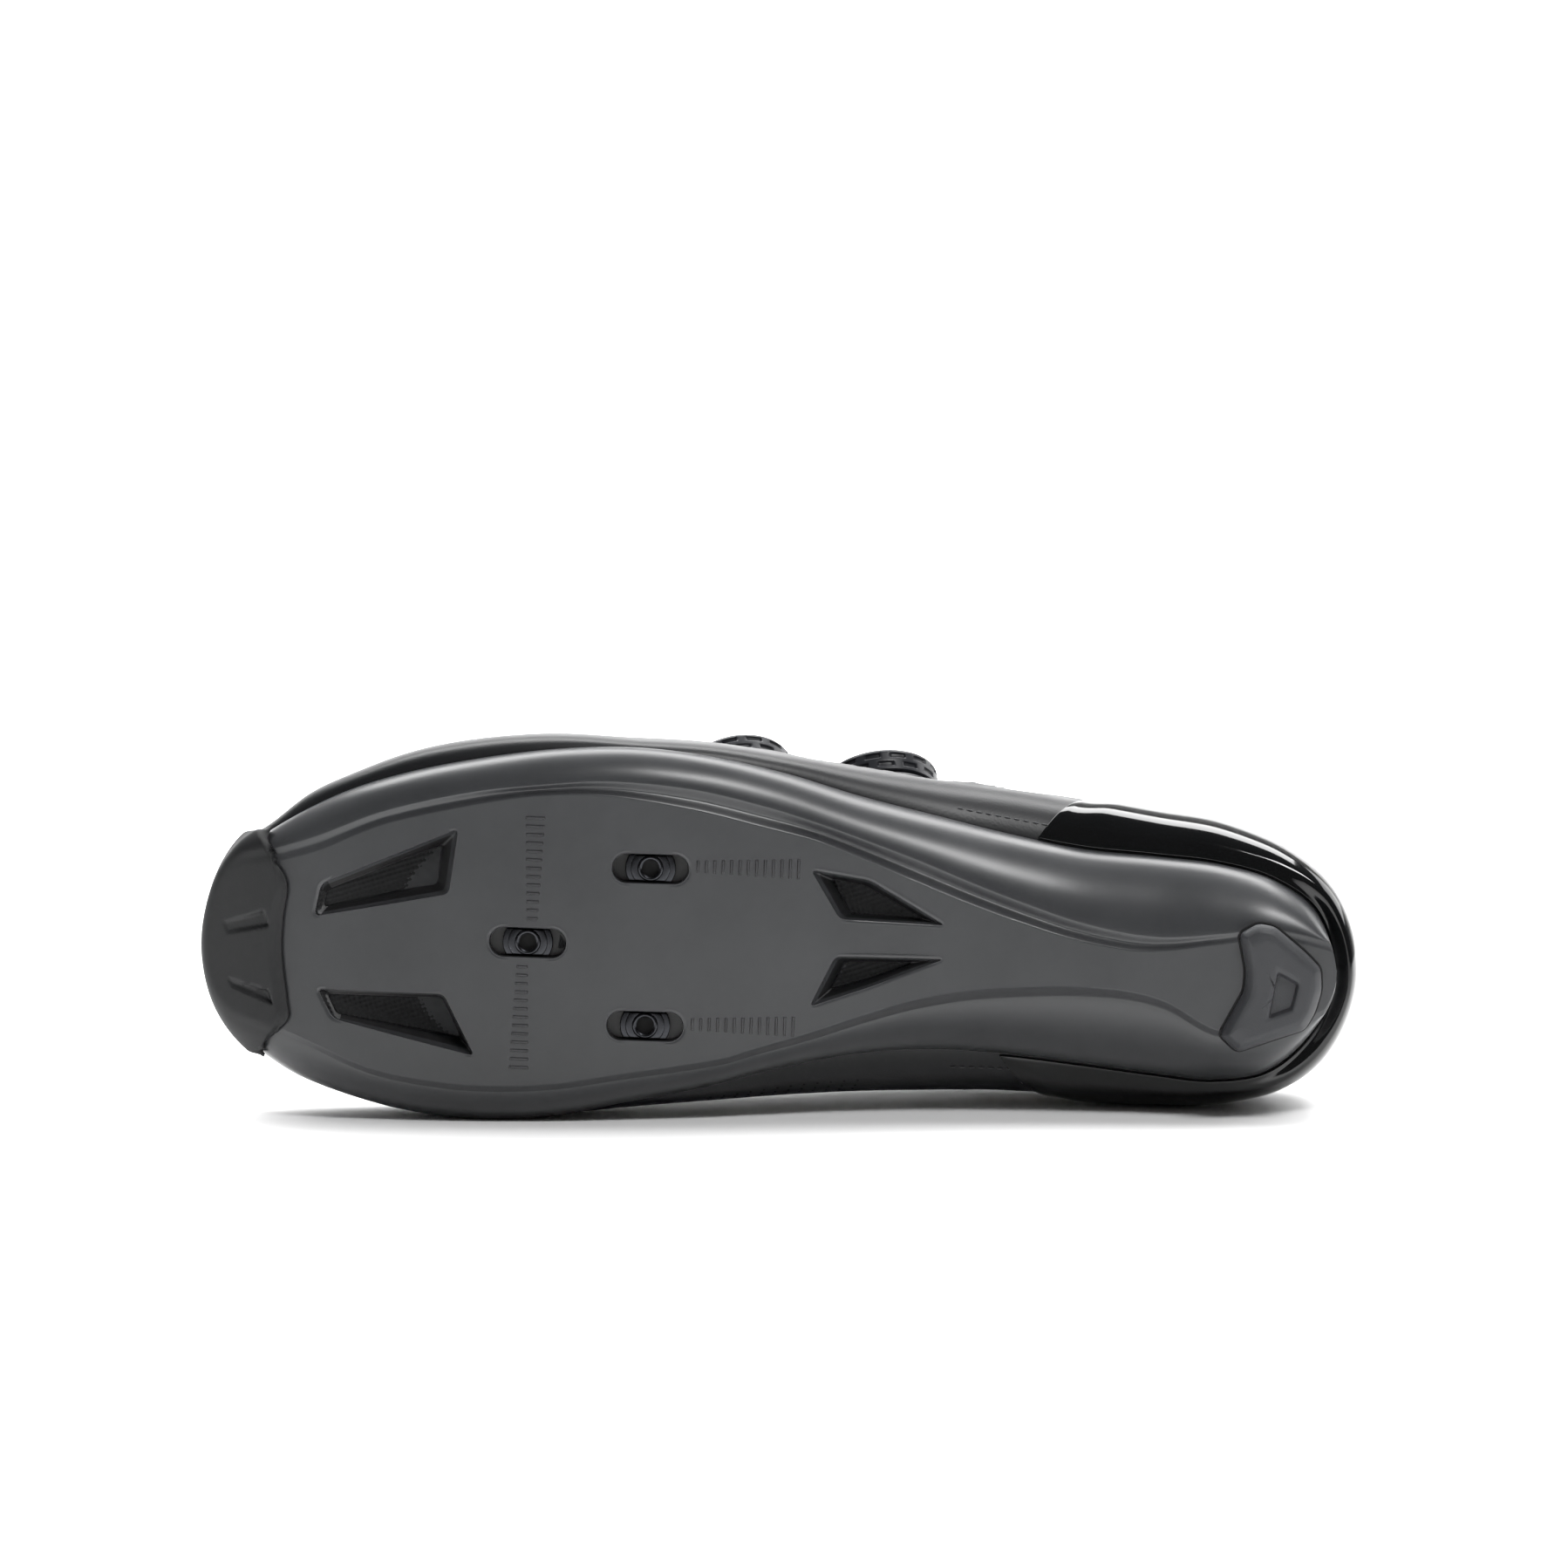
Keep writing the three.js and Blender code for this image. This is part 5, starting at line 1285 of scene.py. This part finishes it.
    def _slit(self, form: Form, side: Side, x: float, climb: float, slant: int) -> None:
        """Add one slit: a raised welt round a hollow, the whole of it painted dark as shade."""
        wall = Wall(place_at(side, x))
        lift = 0.06 + self.swell(wall, climb / wall.cover)
        centre = on_last(side, x, climb, lift)[0]
        normal = normal_on_last(side, x, climb)[0]
        ahead = on_last(side, x + 0.5, climb, lift)[0] - centre
        ahead /= np.linalg.norm(ahead)
        rise = np.cross(normal, ahead)
        long = (ahead + slant * 0.75 * rise) / math.hypot(1, 0.75)
        wide = np.cross(normal, long)
        turn = np.arange(12) / 12 * math.tau
        rings = []
        for size, lift in ((1.0, -0.05), (0.9, 0.04), (0.6, 0.0), (0.2, -0.04)):
            loop = np.cos(turn)[:, None] * long * self.slit_length / 2
            loop = loop + np.sin(turn)[:, None] * wide * self.slit_width / 2
            rings.append(centre + loop * size + normal * lift)
        form.grid(np.stack(rings), wrap_columns=True)
        form.fan(rings[-1])

    def stitching(self) -> None:
        """Build the stitches along the throat and the glue line where the upper meets the sole."""
        form = Form()
        for side, cover in ((Side.OUTER, cover_outer_at), (Side.INNER, cover_inner_at)):
            for inset in (2.6, 6.0):
                x = np.linspace(198, 98, 200)
                lift = 0.1 + self.swell(Wall(place_at(side, x)), 1 - inset / cover(x))
                dashes(form, on_last(side, x, cover(x) - inset, lift), 2.2, 3.0, 0.2)
            x = np.linspace(96, 40, 120)
            wall = Wall(place_at(side, x), 0.1)
            dashes(form, wall.low(0.34), 1.5, 2.3, 0.22)
        form.build("stitches", self.pose, [Finishes.thread], slot="leather")
        bead = Form()
        places = np.linspace(1.7, TURN - 1.7, 700)
        edge = ring(SOLE_OUTLINE, places, -0.55)
        rng = np.random.default_rng(7)
        rough = np.convolve(rng.normal(0, 1, len(edge) + 8), np.ones(9) / 9, "valid")
        path = np.column_stack([edge, feather_at(edge[:, 0]) + GAP * 0.6])
        tube(bead, path, np.clip(0.34 + 0.2 * rough, 0.18, 0.6), sides=8)
        bead.build("glue_line", self.pose, [Finishes.glue], slot="leather")


@dataclass
class ToeBumper:
    """Rubber cap round the toe with two tapered grooves."""

    pose: LyingPose
    plate: SolePlate
    wall: float = 1.7
    top: float = 36.5
    groove_depth: float = 1.2
    seam: tuple = ((262.8, 19.6), (258.5, 15.4), (256.5, 11.4), (257.2, 3.0), (257.3, -5.0), (255.6, -16.4),
                   (255.2, -21.0), (258.8, -25.2), (262.4, -28.6))
    grooves: tuple = (((272.1, 1.4), (270.7, -1.5), (260.2, 0.9), (261.6, 4.9)),
                      ((270.6, -11.7), (269.3, -14.1), (258.6, -18.0), (259.9, -14.3)))
    first_place: float = 3.05
    last_place: float = 3.05
    top_reach: float = 0.7
    across: int = 150
    under_rows: int = 60
    side_rows: int = 30

    def build(self) -> None:
        """Build the bumper."""
        share = np.linspace(0, 1, self.across)
        seam, _ = spline(np.array(self.seam), share * (len(self.seam) - 1) * 0.99999, closed=False)
        places = blend(self.first_place, -self.last_place, share) % TURN
        edge = ring(SOLE_OUTLINE, places, GAP)
        rows = []
        for t in np.linspace(0, 1, self.under_rows):
            plan = blend(seam, edge, t ** 0.85)
            inner = blend(seam, ring(SOLE_OUTLINE, places, -0.8), t ** 0.85)
            rows.append(np.column_stack([plan, self.plate.under_height(inner) - GAP]))
        for t in np.linspace(0, 1, self.side_rows + 1)[1:]:
            reach = blend(1.0, self.top_reach, t)
            places = blend(self.first_place * reach, -self.last_place * reach, share) % TURN
            edge = ring(SOLE_OUTLINE, places, GAP)
            wall = Wall(places, GAP)
            z = blend(rows[self.under_rows - 1][:, 2], self.top, t)
            lean = smooth_step(z, feather_at(edge[:, 0]).min() - 2, wall.belly.mean())
            back = np.clip((z - wall.belly) / 20, 0, 1)[:, None] ** 2
            plan = blend(blend(edge, wall.wide, lean[:, None]), wall.ridge, back * 0.6)
            rows.append(np.column_stack([plan, z]))
        hug = relax(np.stack(rows, axis=1), 14)
        normals = grid_normals(hug)
        normals *= np.sign(np.sum(normals * (hug - (240, -4, 40)), axis=2).mean())
        edge_share = np.minimum(share, 1 - share)
        row_share = np.linspace(0, 1, hug.shape[1])
        fade = blend(0.25, 1.0, smooth_step(edge_share, 0, 0.07))[:, None]
        fade = fade * blend(0.5, 1.0, smooth_step(np.minimum(row_share, 1 - row_share), 0, 0.07))[None]
        grid = hug + normals * (self.wall * fade)[..., None]
        for corners in self.grooves:
            depth = inside_depth(grid[..., :2], corners)
            taper = np.clip((274 - grid[..., 0]) / 14, 0, 1)
            below = smooth_step(-grid[..., 2], -26.0, -22.0)
            cut = self.groove_depth * smooth_step(depth, 0, 0.7) * taper * below
            grid = grid - normals * cut[..., None]
        form = Form()
        form.shell(grid, hug)
        form.build("toe_cap", self.pose, [Finishes.rubber], ("toe_bumper",), "rubber", crease_degrees=45)


@dataclass
class HeelPad:
    """Raised rubber pad with a bevelled edge and a pocket."""

    pose: LyingPose
    proud: float = 4.0
    bevel: float = 2.0
    pocket_depth: float = 1.6
    outline: tuple = ((28.6, 7.9), (24.2, 10.6), (20.2, 10.0), (12.3, 3.8), (8.9, 0.4), (8.5, -4.8),
                      (9.9, -10.2), (12.2, -14.4), (20.0, -17.2), (28.0, -20.3), (32.4, -16.4),
                      (29.8, -11.2), (26.9, -5.6), (26.7, -0.6))
    pocket: tuple = ((19.3, -0.5), (14.0, -3.2), (15.4, -9.6), (21.1, -11.9), (20.0, -5.2))

    def build(self) -> None:
        """Build the pad and the ring of painted shade in the gap round it."""
        count = 220
        loop = resampled(rounded(self.outline, 1.4, 5), count)
        pocket = resampled(rounded(self.pocket, 0.9, 6), count)
        middle = np.mean(self.pocket, axis=0)
        angle = np.unwrap(np.arctan2(*(loop - middle).T[::-1]))
        pocket_angle = np.arctan2(*(pocket - middle).T[::-1])
        order = [int(np.argmin(np.abs(np.angle(np.exp(1j * (pocket_angle - a)))))) for a in angle]
        pocket = pocket[order]
        floor = keel_at(20.0) - self.proud
        rings = [(loop, floor + self.proud + 5), (loop, floor + self.bevel + 0.2)]
        rings += [(widened(loop, -0.12), floor + self.bevel - 0.1), (widened(loop, -1.5), floor + 0.25),
                  (widened(loop, -1.9), floor + 0.02)]
        top = widened(loop, -1.9)
        rings += [(blend(top, pocket, share), floor) for share in (0.25, 0.5, 0.75)]
        rings += [(widened(pocket, 0.25), floor), (pocket, floor + 0.18)]
        rings += [(widened(pocket, -0.15), floor + 0.5),
                  (blend(pocket, middle, 0.16), floor + self.pocket_depth)]
        form = Form()
        grid = np.stack([np.column_stack([plan, np.full(count, z)]) for plan, z in rings])
        form.grid(grid, wrap_columns=True)
        form.fan(grid[-1])
        form.fan(grid[0])
        form.build("heel_block", self.pose, [Finishes.pad_rubber], ("heel_pad",), "rubber", crease_degrees=40)
        # Dark tube of painted shade in the gap round the pad.
        joint = Form()
        wide = widened(loop, 0.15)
        plate = SolePlate(self.pose)
        tube(joint, np.column_stack([wide, plate.under_height(wide) + 0.12]), 0.42, sides=8, closed=True)
        joint.build("heel_pad_gap_shade", self.pose, [Finishes.slit], slot="rubber")


@dataclass
class HeelCounter:
    """Thin polished cup over the back of the upper."""

    pose: LyingPose
    wall: float = 1.1
    top: float = 0.82
    columns: int = 150
    rows: int = 60
    foot_clearance: float = 0.4
    split: float = 0.45
    edge_wall: float = 0.45
    edge_steps: float = 7.0
    back_wall: float = 1.3
    back_reach: float = 26.0
    # Front edge: share of the climb, then x on the outer and on the inner side.
    front: tuple = ((0.0, 76.0, 84.0), (0.25, 70.0, 76.0), (0.5, 62.0, 66.0), (0.75, 52.0, 54.0),
                    (1.0, 36.0, 37.0))

    def grid(self, thick: float) -> np.ndarray:
        """Return the grid of the face that lies thick above the inner face, thinner at its edges."""
        outer_front, inner_front = Profile(self.front, 1), Profile(self.front, 2)
        column = np.arange(self.columns + 1)
        lines = []
        for j in range(self.rows + 1):
            climb = j / self.rows
            first = float(place_at(Side.OUTER, outer_front(climb)))
            last = float(place_at(Side.INNER, inner_front(climb)))
            edge = np.minimum(np.minimum(column, self.columns - column), min(j, self.rows - j))
            full = smooth_step(edge, 0, self.edge_steps)
            places = np.linspace(first, last, self.columns + 1)
            back = smooth_step(-Wall(places).station, -self.back_reach, 0)
            stout = thick * blend(self.edge_wall / self.wall, 1.0 + self.back_wall / self.wall * back, full)
            wall = Wall(places, GAP + stout)
            if climb < self.split:
                lines.append(wall.low(blend(self.foot_share(wall), 1, climb / self.split)))
            else:
                lines.append(wall.high(wall.cover * self.top * (climb - self.split) / (1 - self.split)))
        return np.stack(lines, axis=1)

    def foot_share(self, wall: Wall) -> np.ndarray:
        """Return the shares of the lower wall at which it clears the edge of the sole."""
        reach = np.linalg.norm(wall.wide - wall.inset, axis=1)
        out = np.clip((LASTING_MARGIN + self.foot_clearance + wall.grow / 2) / reach, 0, 1)
        return np.arcsin(out ** (wall.boxy / 2)) / (math.pi / 2)

    def build(self) -> None:
        """Build the cup."""
        form = Form()
        form.shell(self.grid(self.wall + GAP), self.grid(0.0))
        form.build("heel_cup", self.pose, [Finishes.gloss], ("heel_counter",), "gloss_cup", crease_degrees=60)


@dataclass
class Insole:
    """Foot bed in the cup of the sole."""

    pose: LyingPose
    across: int = 24
    stations: int = 160

    def build(self) -> None:
        """Build the foot bed."""
        places = np.linspace(0.25, HALF_TURN - 0.25, self.stations)
        reach = SOLE_RIM + 0.4
        outer, inner = ring(SOLE_OUTLINE, places, -reach), ring(SOLE_OUTLINE, TURN - places, -reach)
        x = (outer[:, 0] + inner[:, 0]) / 2
        keel, edge = keel_at(x), feather_at(x)
        floor = np.minimum(keel + SOLE_WALL, edge - 0.2)
        sheets = []
        for lift in (GAP + 0.25 + INSOLE_THICKNESS, GAP + 0.25):
            rows = []
            for share in np.linspace(0, 1, self.across + 1):
                plan = blend(inner, outer, share)
                rim = np.where(plan[:, 1] >= 0, np.maximum(outer[:, 1], 0.5), np.minimum(inner[:, 1], -0.5))
                cup = np.clip(plan[:, 1] / rim, 0, 1) ** SolePlate.cup_power
                rows.append(np.column_stack([plan, floor + (edge - floor) * cup + lift]))
            sheets.append(np.stack(rows, axis=1))
        form = Form()
        form.shell(sheets[0], sheets[1])
        form.build("foot_bed", self.pose, [Finishes.lining], ("insole",), "foam")


@dataclass
class Tongue:
    """Padded sheet under the throat."""

    pose: LyingPose
    front: float = 214.0
    back: float = 88.0
    edge_climb: float = 56.0
    stations: int = 120
    across: int = 40

    def sheet(self, depth: float, pad: float) -> np.ndarray:
        """Return the grid of one face, depth below the last and swollen by pad."""
        rows = []
        x = np.linspace(self.front, self.back, self.stations + 1)
        for share in np.linspace(-1, 1, self.across + 1):
            side = Side.INNER if share < 0 else Side.OUTER
            climb = 90 - abs(share) * (90 - self.edge_climb)
            swell = pad * (1 - share ** 4) * np.clip((self.front - x) / 20, 0, 1)
            channel = 0.5 * pad * np.exp(-((abs(share) - 0.55) / 0.06) ** 2)
            wall = Wall(place_at(side, x), -depth + swell - channel)
            rows.append(wall.high(climb))
        return np.stack(rows, axis=1)

    def build(self) -> None:
        """Build the tongue."""
        high = UPPER_WALL + 0.6
        form = Form()
        form.shell(self.sheet(high, 0.7), self.sheet(high + TONGUE_THICKNESS, 0.0))
        piece = form.build("tongue_pad", self.pose, [Finishes.lining], ("tongue",), "tongue_fabric")


@dataclass
class LaceDial:
    """Turning dial that winds a lace: a low base ring and a knob with two rows of grip dashes."""

    pose: LyingPose
    name: str
    x: float
    climb: float
    radius: float = 14.2
    base_radius: float = 14.6
    base_height: float = 1.9
    knob_height: float = 6.4
    dash_depth: float = 0.5
    dashes_per_turn: int = 14
    # Rows of dashes: height over the foot of the knob, and shift along the row as a share of one dash.
    dash_rows: tuple = ((2.0, 0.0), (4.4, 0.5))

    def build(self) -> None:
        """Build the base and the knob."""
        origin = on_last(Side.OUTER, self.x, self.climb)[0]
        normal = normal_on_last(Side.OUTER, self.x, self.climb)[0]
        r, h = self.base_radius, self.base_height
        base = np.array([(r - 3, -2.0), (r - 1, -2.8), (r, -2.4), (r + 0.1, 0.2), (r - 0.1, h - 0.7),
                         (r - 0.5, h - 0.15), (r - 1.2, h), (r - 3, h)])
        form = Form()
        ring_grid = turned(chaikin(base[None], 2)[0], 96)
        form.grid(standing(ring_grid, origin, normal), wrap_rows=True)
        form.build(f"dial_ring_{self.name}", self.pose, [Finishes.nylon], (f"dial_base_{self.name}",),
                   "dial_plastic")
        low = h + GAP
        high = low + self.knob_height
        r = self.radius
        wall = [(r, z) for z in np.linspace(low + 0.8, high - 1.3, 26)]
        profile = np.array([(0.02, low), (r - 1.2, low), (r - 0.35, low + 0.12), (r, low + 0.45)] + wall
                           + [(r - 0.12, high - 0.7), (r - 0.55, high - 0.22), (r - 1.3, high),
                              (r - 4.0, high - 0.1), (r - 4.5, high - 0.6), (r - 7.6, high - 0.9),
                              (r - 8.0, high - 0.4), (0.02, high - 0.35)])
        grid = turned(profile, 288)
        angle = np.arctan2(grid[..., 1], grid[..., 0])
        height = grid[..., 2]
        for lift, shift in self.dash_rows:
            middle = low + lift
            phase = (angle / math.tau * self.dashes_per_turn + shift) % 1.0
            dash = smooth_step(phase, 0.12, 0.17) * (1 - smooth_step(phase, 0.72, 0.77))
            band = smooth_step(height, middle - 0.75, middle - 0.45)
            band = band * (1 - smooth_step(height, middle + 0.45, middle + 0.75))
            grid[..., :2] *= (1 - self.dash_depth / r * dash * band)[..., None]
        knob = Form()
        knob.grid(standing(grid, origin, normal), wrap_rows=True)
        knob.build(f"dial_cap_{self.name}", self.pose, [Finishes.nylon], (f"dial_knob_{self.name}",),
                   "dial_plastic", crease_degrees=45)


@dataclass
class Lace:
    """Lace of one dial, over the tongue and round a guide on the inner side."""

    pose: LyingPose
    name: str
    dial_x: float
    dial_climb: float
    far: float
    back: float
    turn: float = 5.0
    radius: float = 0.7
    lift: float = 2.1
    start_lift: float = 1.2
    edge: float = 64.0
    guide_length: float = 11.0
    guide_climb: float = 61.0
    anchor_length: float = 5.0
    anchor_climb: float = 62.0
    guide_span: float = 9.0
    guide_thickness: float = 3.6

    def path(self) -> np.ndarray:
        """Return the points that the lace follows."""
        outer, inner = Side.OUTER, Side.INNER
        knots = (
            (outer, blend(self.dial_x, self.far, 0.9), 77), (outer, self.far, 86), (inner, self.far, 76),
            (inner, self.far, self.edge), (inner, self.far + self.turn * 0.5, self.edge - 5),
            (inner, self.far + self.turn, self.edge), (inner, self.far + self.turn + 1, 76),
            (outer, self.back - 1.5, 88), (outer, self.back, 76), (outer, self.back, self.edge),
        )
        start = on_last(outer, blend(self.dial_x, self.far, 0.72), self.dial_climb + 14, self.start_lift)
        return np.vstack([start] + [on_last(side, x, climb, self.lift) for side, x, climb in knots])

    def build(self) -> None:
        """Build the lace, its guide and its anchor."""
        form = Form()
        knots = self.path()
        line, _ = spline(knots, np.linspace(0, len(knots) - 1.00001, 180), closed=False)
        tube(form, line, self.radius, sides=12)
        form.build(f"lace_cord_{self.name}", self.pose, [Finishes.cord], (f"lace_{self.name}",), "cord")
        self.saddle("turn", Side.INNER, self.far + self.turn / 2, self.guide_climb, self.guide_length,
                    f"lace_guide_inner_{self.name}")
        self.saddle("end", Side.OUTER, self.back, self.anchor_climb, self.anchor_length,
                    f"lace_anchor_{self.name}")

    def saddle(self, kind: str, side: Side, x: float, climb: float, length: float, node: str) -> None:
        """Build a low moulded saddle that turns or ends the lace.

        Args:
            kind: Kind of saddle, for its name.
            side: Side of the shoe.
            x: Station of its middle.
            climb: Climb of its middle in degrees.
            length: Length along the shoe.
            node: CAD node that it stands for.
        """
        s = np.linspace(-1, 1, 25)
        sheets = []
        for grow in (self.guide_thickness, GAP * 0.5):
            rows = []
            for t in np.linspace(-1, 1, 21):
                crown = np.clip(1 - np.abs(s) ** 4, 0, 1) * max(1 - abs(t) ** 4, 0)
                lift = blend(0.9, grow, crown) if grow > 1 else np.full(len(s), grow)
                wall = Wall(place_at(side, x + s * length / 2), lift)
                rows.append(wall.high(climb + t * self.guide_span / 2 * (1 - 0.12 * s ** 2)))
            sheets.append(np.stack(rows, axis=1))
        form = Form()
        form.shell(sheets[0], sheets[1])
        form.build(f"lace_{kind}_{self.name}", self.pose, [Finishes.nylon], (node,), "dial_plastic")


@dataclass
class Studio:
    """Pale paper sweep, soft lights and the camera of the photograph."""

    lens: float = 200.0
    sensor: float = 36.0
    distance: float = 2.112
    height: float = 0.256
    aim_height: float = 0.0813
    aim_right: float = 0.002
    floor_reach: float = 3.4
    world_strength: float = 0.12

    def build(self) -> None:
        """Build floor, light and camera."""
        self.sweep()
        self.world()
        self.softbox("overhead_box", (0.0, 0.75, 1.25), (0.0, 0.3, 0.0), (1.6, 0.5), 22.0)
        self.softbox("front_overhead_box", (0.55, -0.75, 1.25), (0.05, 0.0, 0.05), (0.6, 0.3), 12.0)
        self.softbox("back_right_box", (1.3, 0.9, 0.8), (0.0, 0.0, 0.05), (0.8, 0.8), 6.0)
        self.softbox("background_box", (0.0, 1.5, 1.5), (0.0, 1.7, 0.0), (3.6, 2.8), 170.0, mirrored=False)
        self.camera()

    def sweep(self) -> None:
        """Build the paper: a floor that curves up into a wall far behind."""
        reach = self.floor_reach
        line = [(-reach, 0.0), (0.6 * reach, 0.0)]
        bends = np.linspace(0.1, math.pi / 2, 16)
        line += [(0.6 * reach + math.sin(bend), 1.0 - math.cos(bend)) for bend in bends]
        line.append((line[-1][0], 3.2))
        points = [(x, y, z) for y, z in line for x in (-reach * 1.6, reach * 1.6)]
        faces = [(2 * k, 2 * k + 1, 2 * k + 3, 2 * k + 2) for k in range(len(line) - 1)]
        mesh = bpy.data.meshes.new("paper_sweep")
        mesh.from_pydata(points, [], faces)
        for face in mesh.polygons:
            face.use_smooth = True
        mesh.materials.append(Finishes.paper.material())
        floor = bpy.data.objects.new("paper_sweep", mesh)
        bpy.context.scene.collection.objects.link(floor)

    def world(self) -> None:
        """Light the studio evenly from all round."""
        world = bpy.data.worlds.new("studio_white")
        world.use_nodes = True
        tree = world.node_tree
        tree.nodes.clear()
        glow = add_node(tree, "ShaderNodeBackground",
                        {"Color": linear("ffffff"), "Strength": self.world_strength})
        add_node(tree, "ShaderNodeOutputWorld", {}, {"Surface": glow.outputs["Background"]})
        bpy.context.scene.world = world

    def softbox(self, name: str, at: tuple, aim: tuple, size: tuple, watts: float,
                mirrored: bool = True) -> None:
        """Add a rectangular softbox.

        Args:
            name: Name of the light.
            at: Its place in metres.
            aim: Point that it faces.
            size: Width and height in metres.
            watts: Power.
            mirrored: Whether glossy surfaces show it.
        """
        light = bpy.data.lights.new(name, "AREA")
        light.shape = "RECTANGLE"
        light.size, light.size_y = size
        light.energy = watts
        lamp = bpy.data.objects.new(name, light)
        lamp.location = at
        lamp.visible_glossy = mirrored
        lamp.rotation_euler = (Vector(aim) - Vector(at)).to_track_quat("-Z", "Y").to_euler()
        bpy.context.scene.collection.objects.link(lamp)

    def camera(self) -> None:
        """Set the camera of the photograph."""
        data = bpy.data.cameras.new("photo_camera")
        data.lens = self.lens
        data.sensor_width = self.sensor
        data.clip_end = 50.0
        camera = bpy.data.objects.new("photo_camera", data)
        camera.location = (self.aim_right, -self.distance, self.height)
        aim = Vector((self.aim_right, -0.05, self.aim_height))
        camera.rotation_euler = (aim - camera.location).to_track_quat("-Z", "Y").to_euler()
        bpy.context.scene.collection.objects.link(camera)
        bpy.context.scene.camera = camera
        bpy.context.scene.view_settings.view_transform = "Standard"


def main() -> None:
    """Build the shoe and its studio."""
    logging.basicConfig(level=logging.INFO, format="%(message)s")
    Studio().build()
    pose = LyingPose()
    plate = SolePlate(pose)
    plate.build()
    for name in CleatNut.BOLTS:
        CleatNut(pose, name).build()
    Upper(pose).build()
    ToeBumper(pose, plate).build()
    HeelPad(pose).build()
    HeelCounter(pose).build()
    Insole(pose).build()
    Tongue(pose).build()
    LaceDial(pose, "front", 148.5, 53.0).build()
    LaceDial(pose, "rear", 113.0, 49.0).build()
    Lace(pose, "front", 148.5, 53.0, 160.0, 172.0).build()
    Lace(pose, "rear", 113.0, 49.0, 124.0, 130.5).build()


if __name__ == "__main__":
    main()
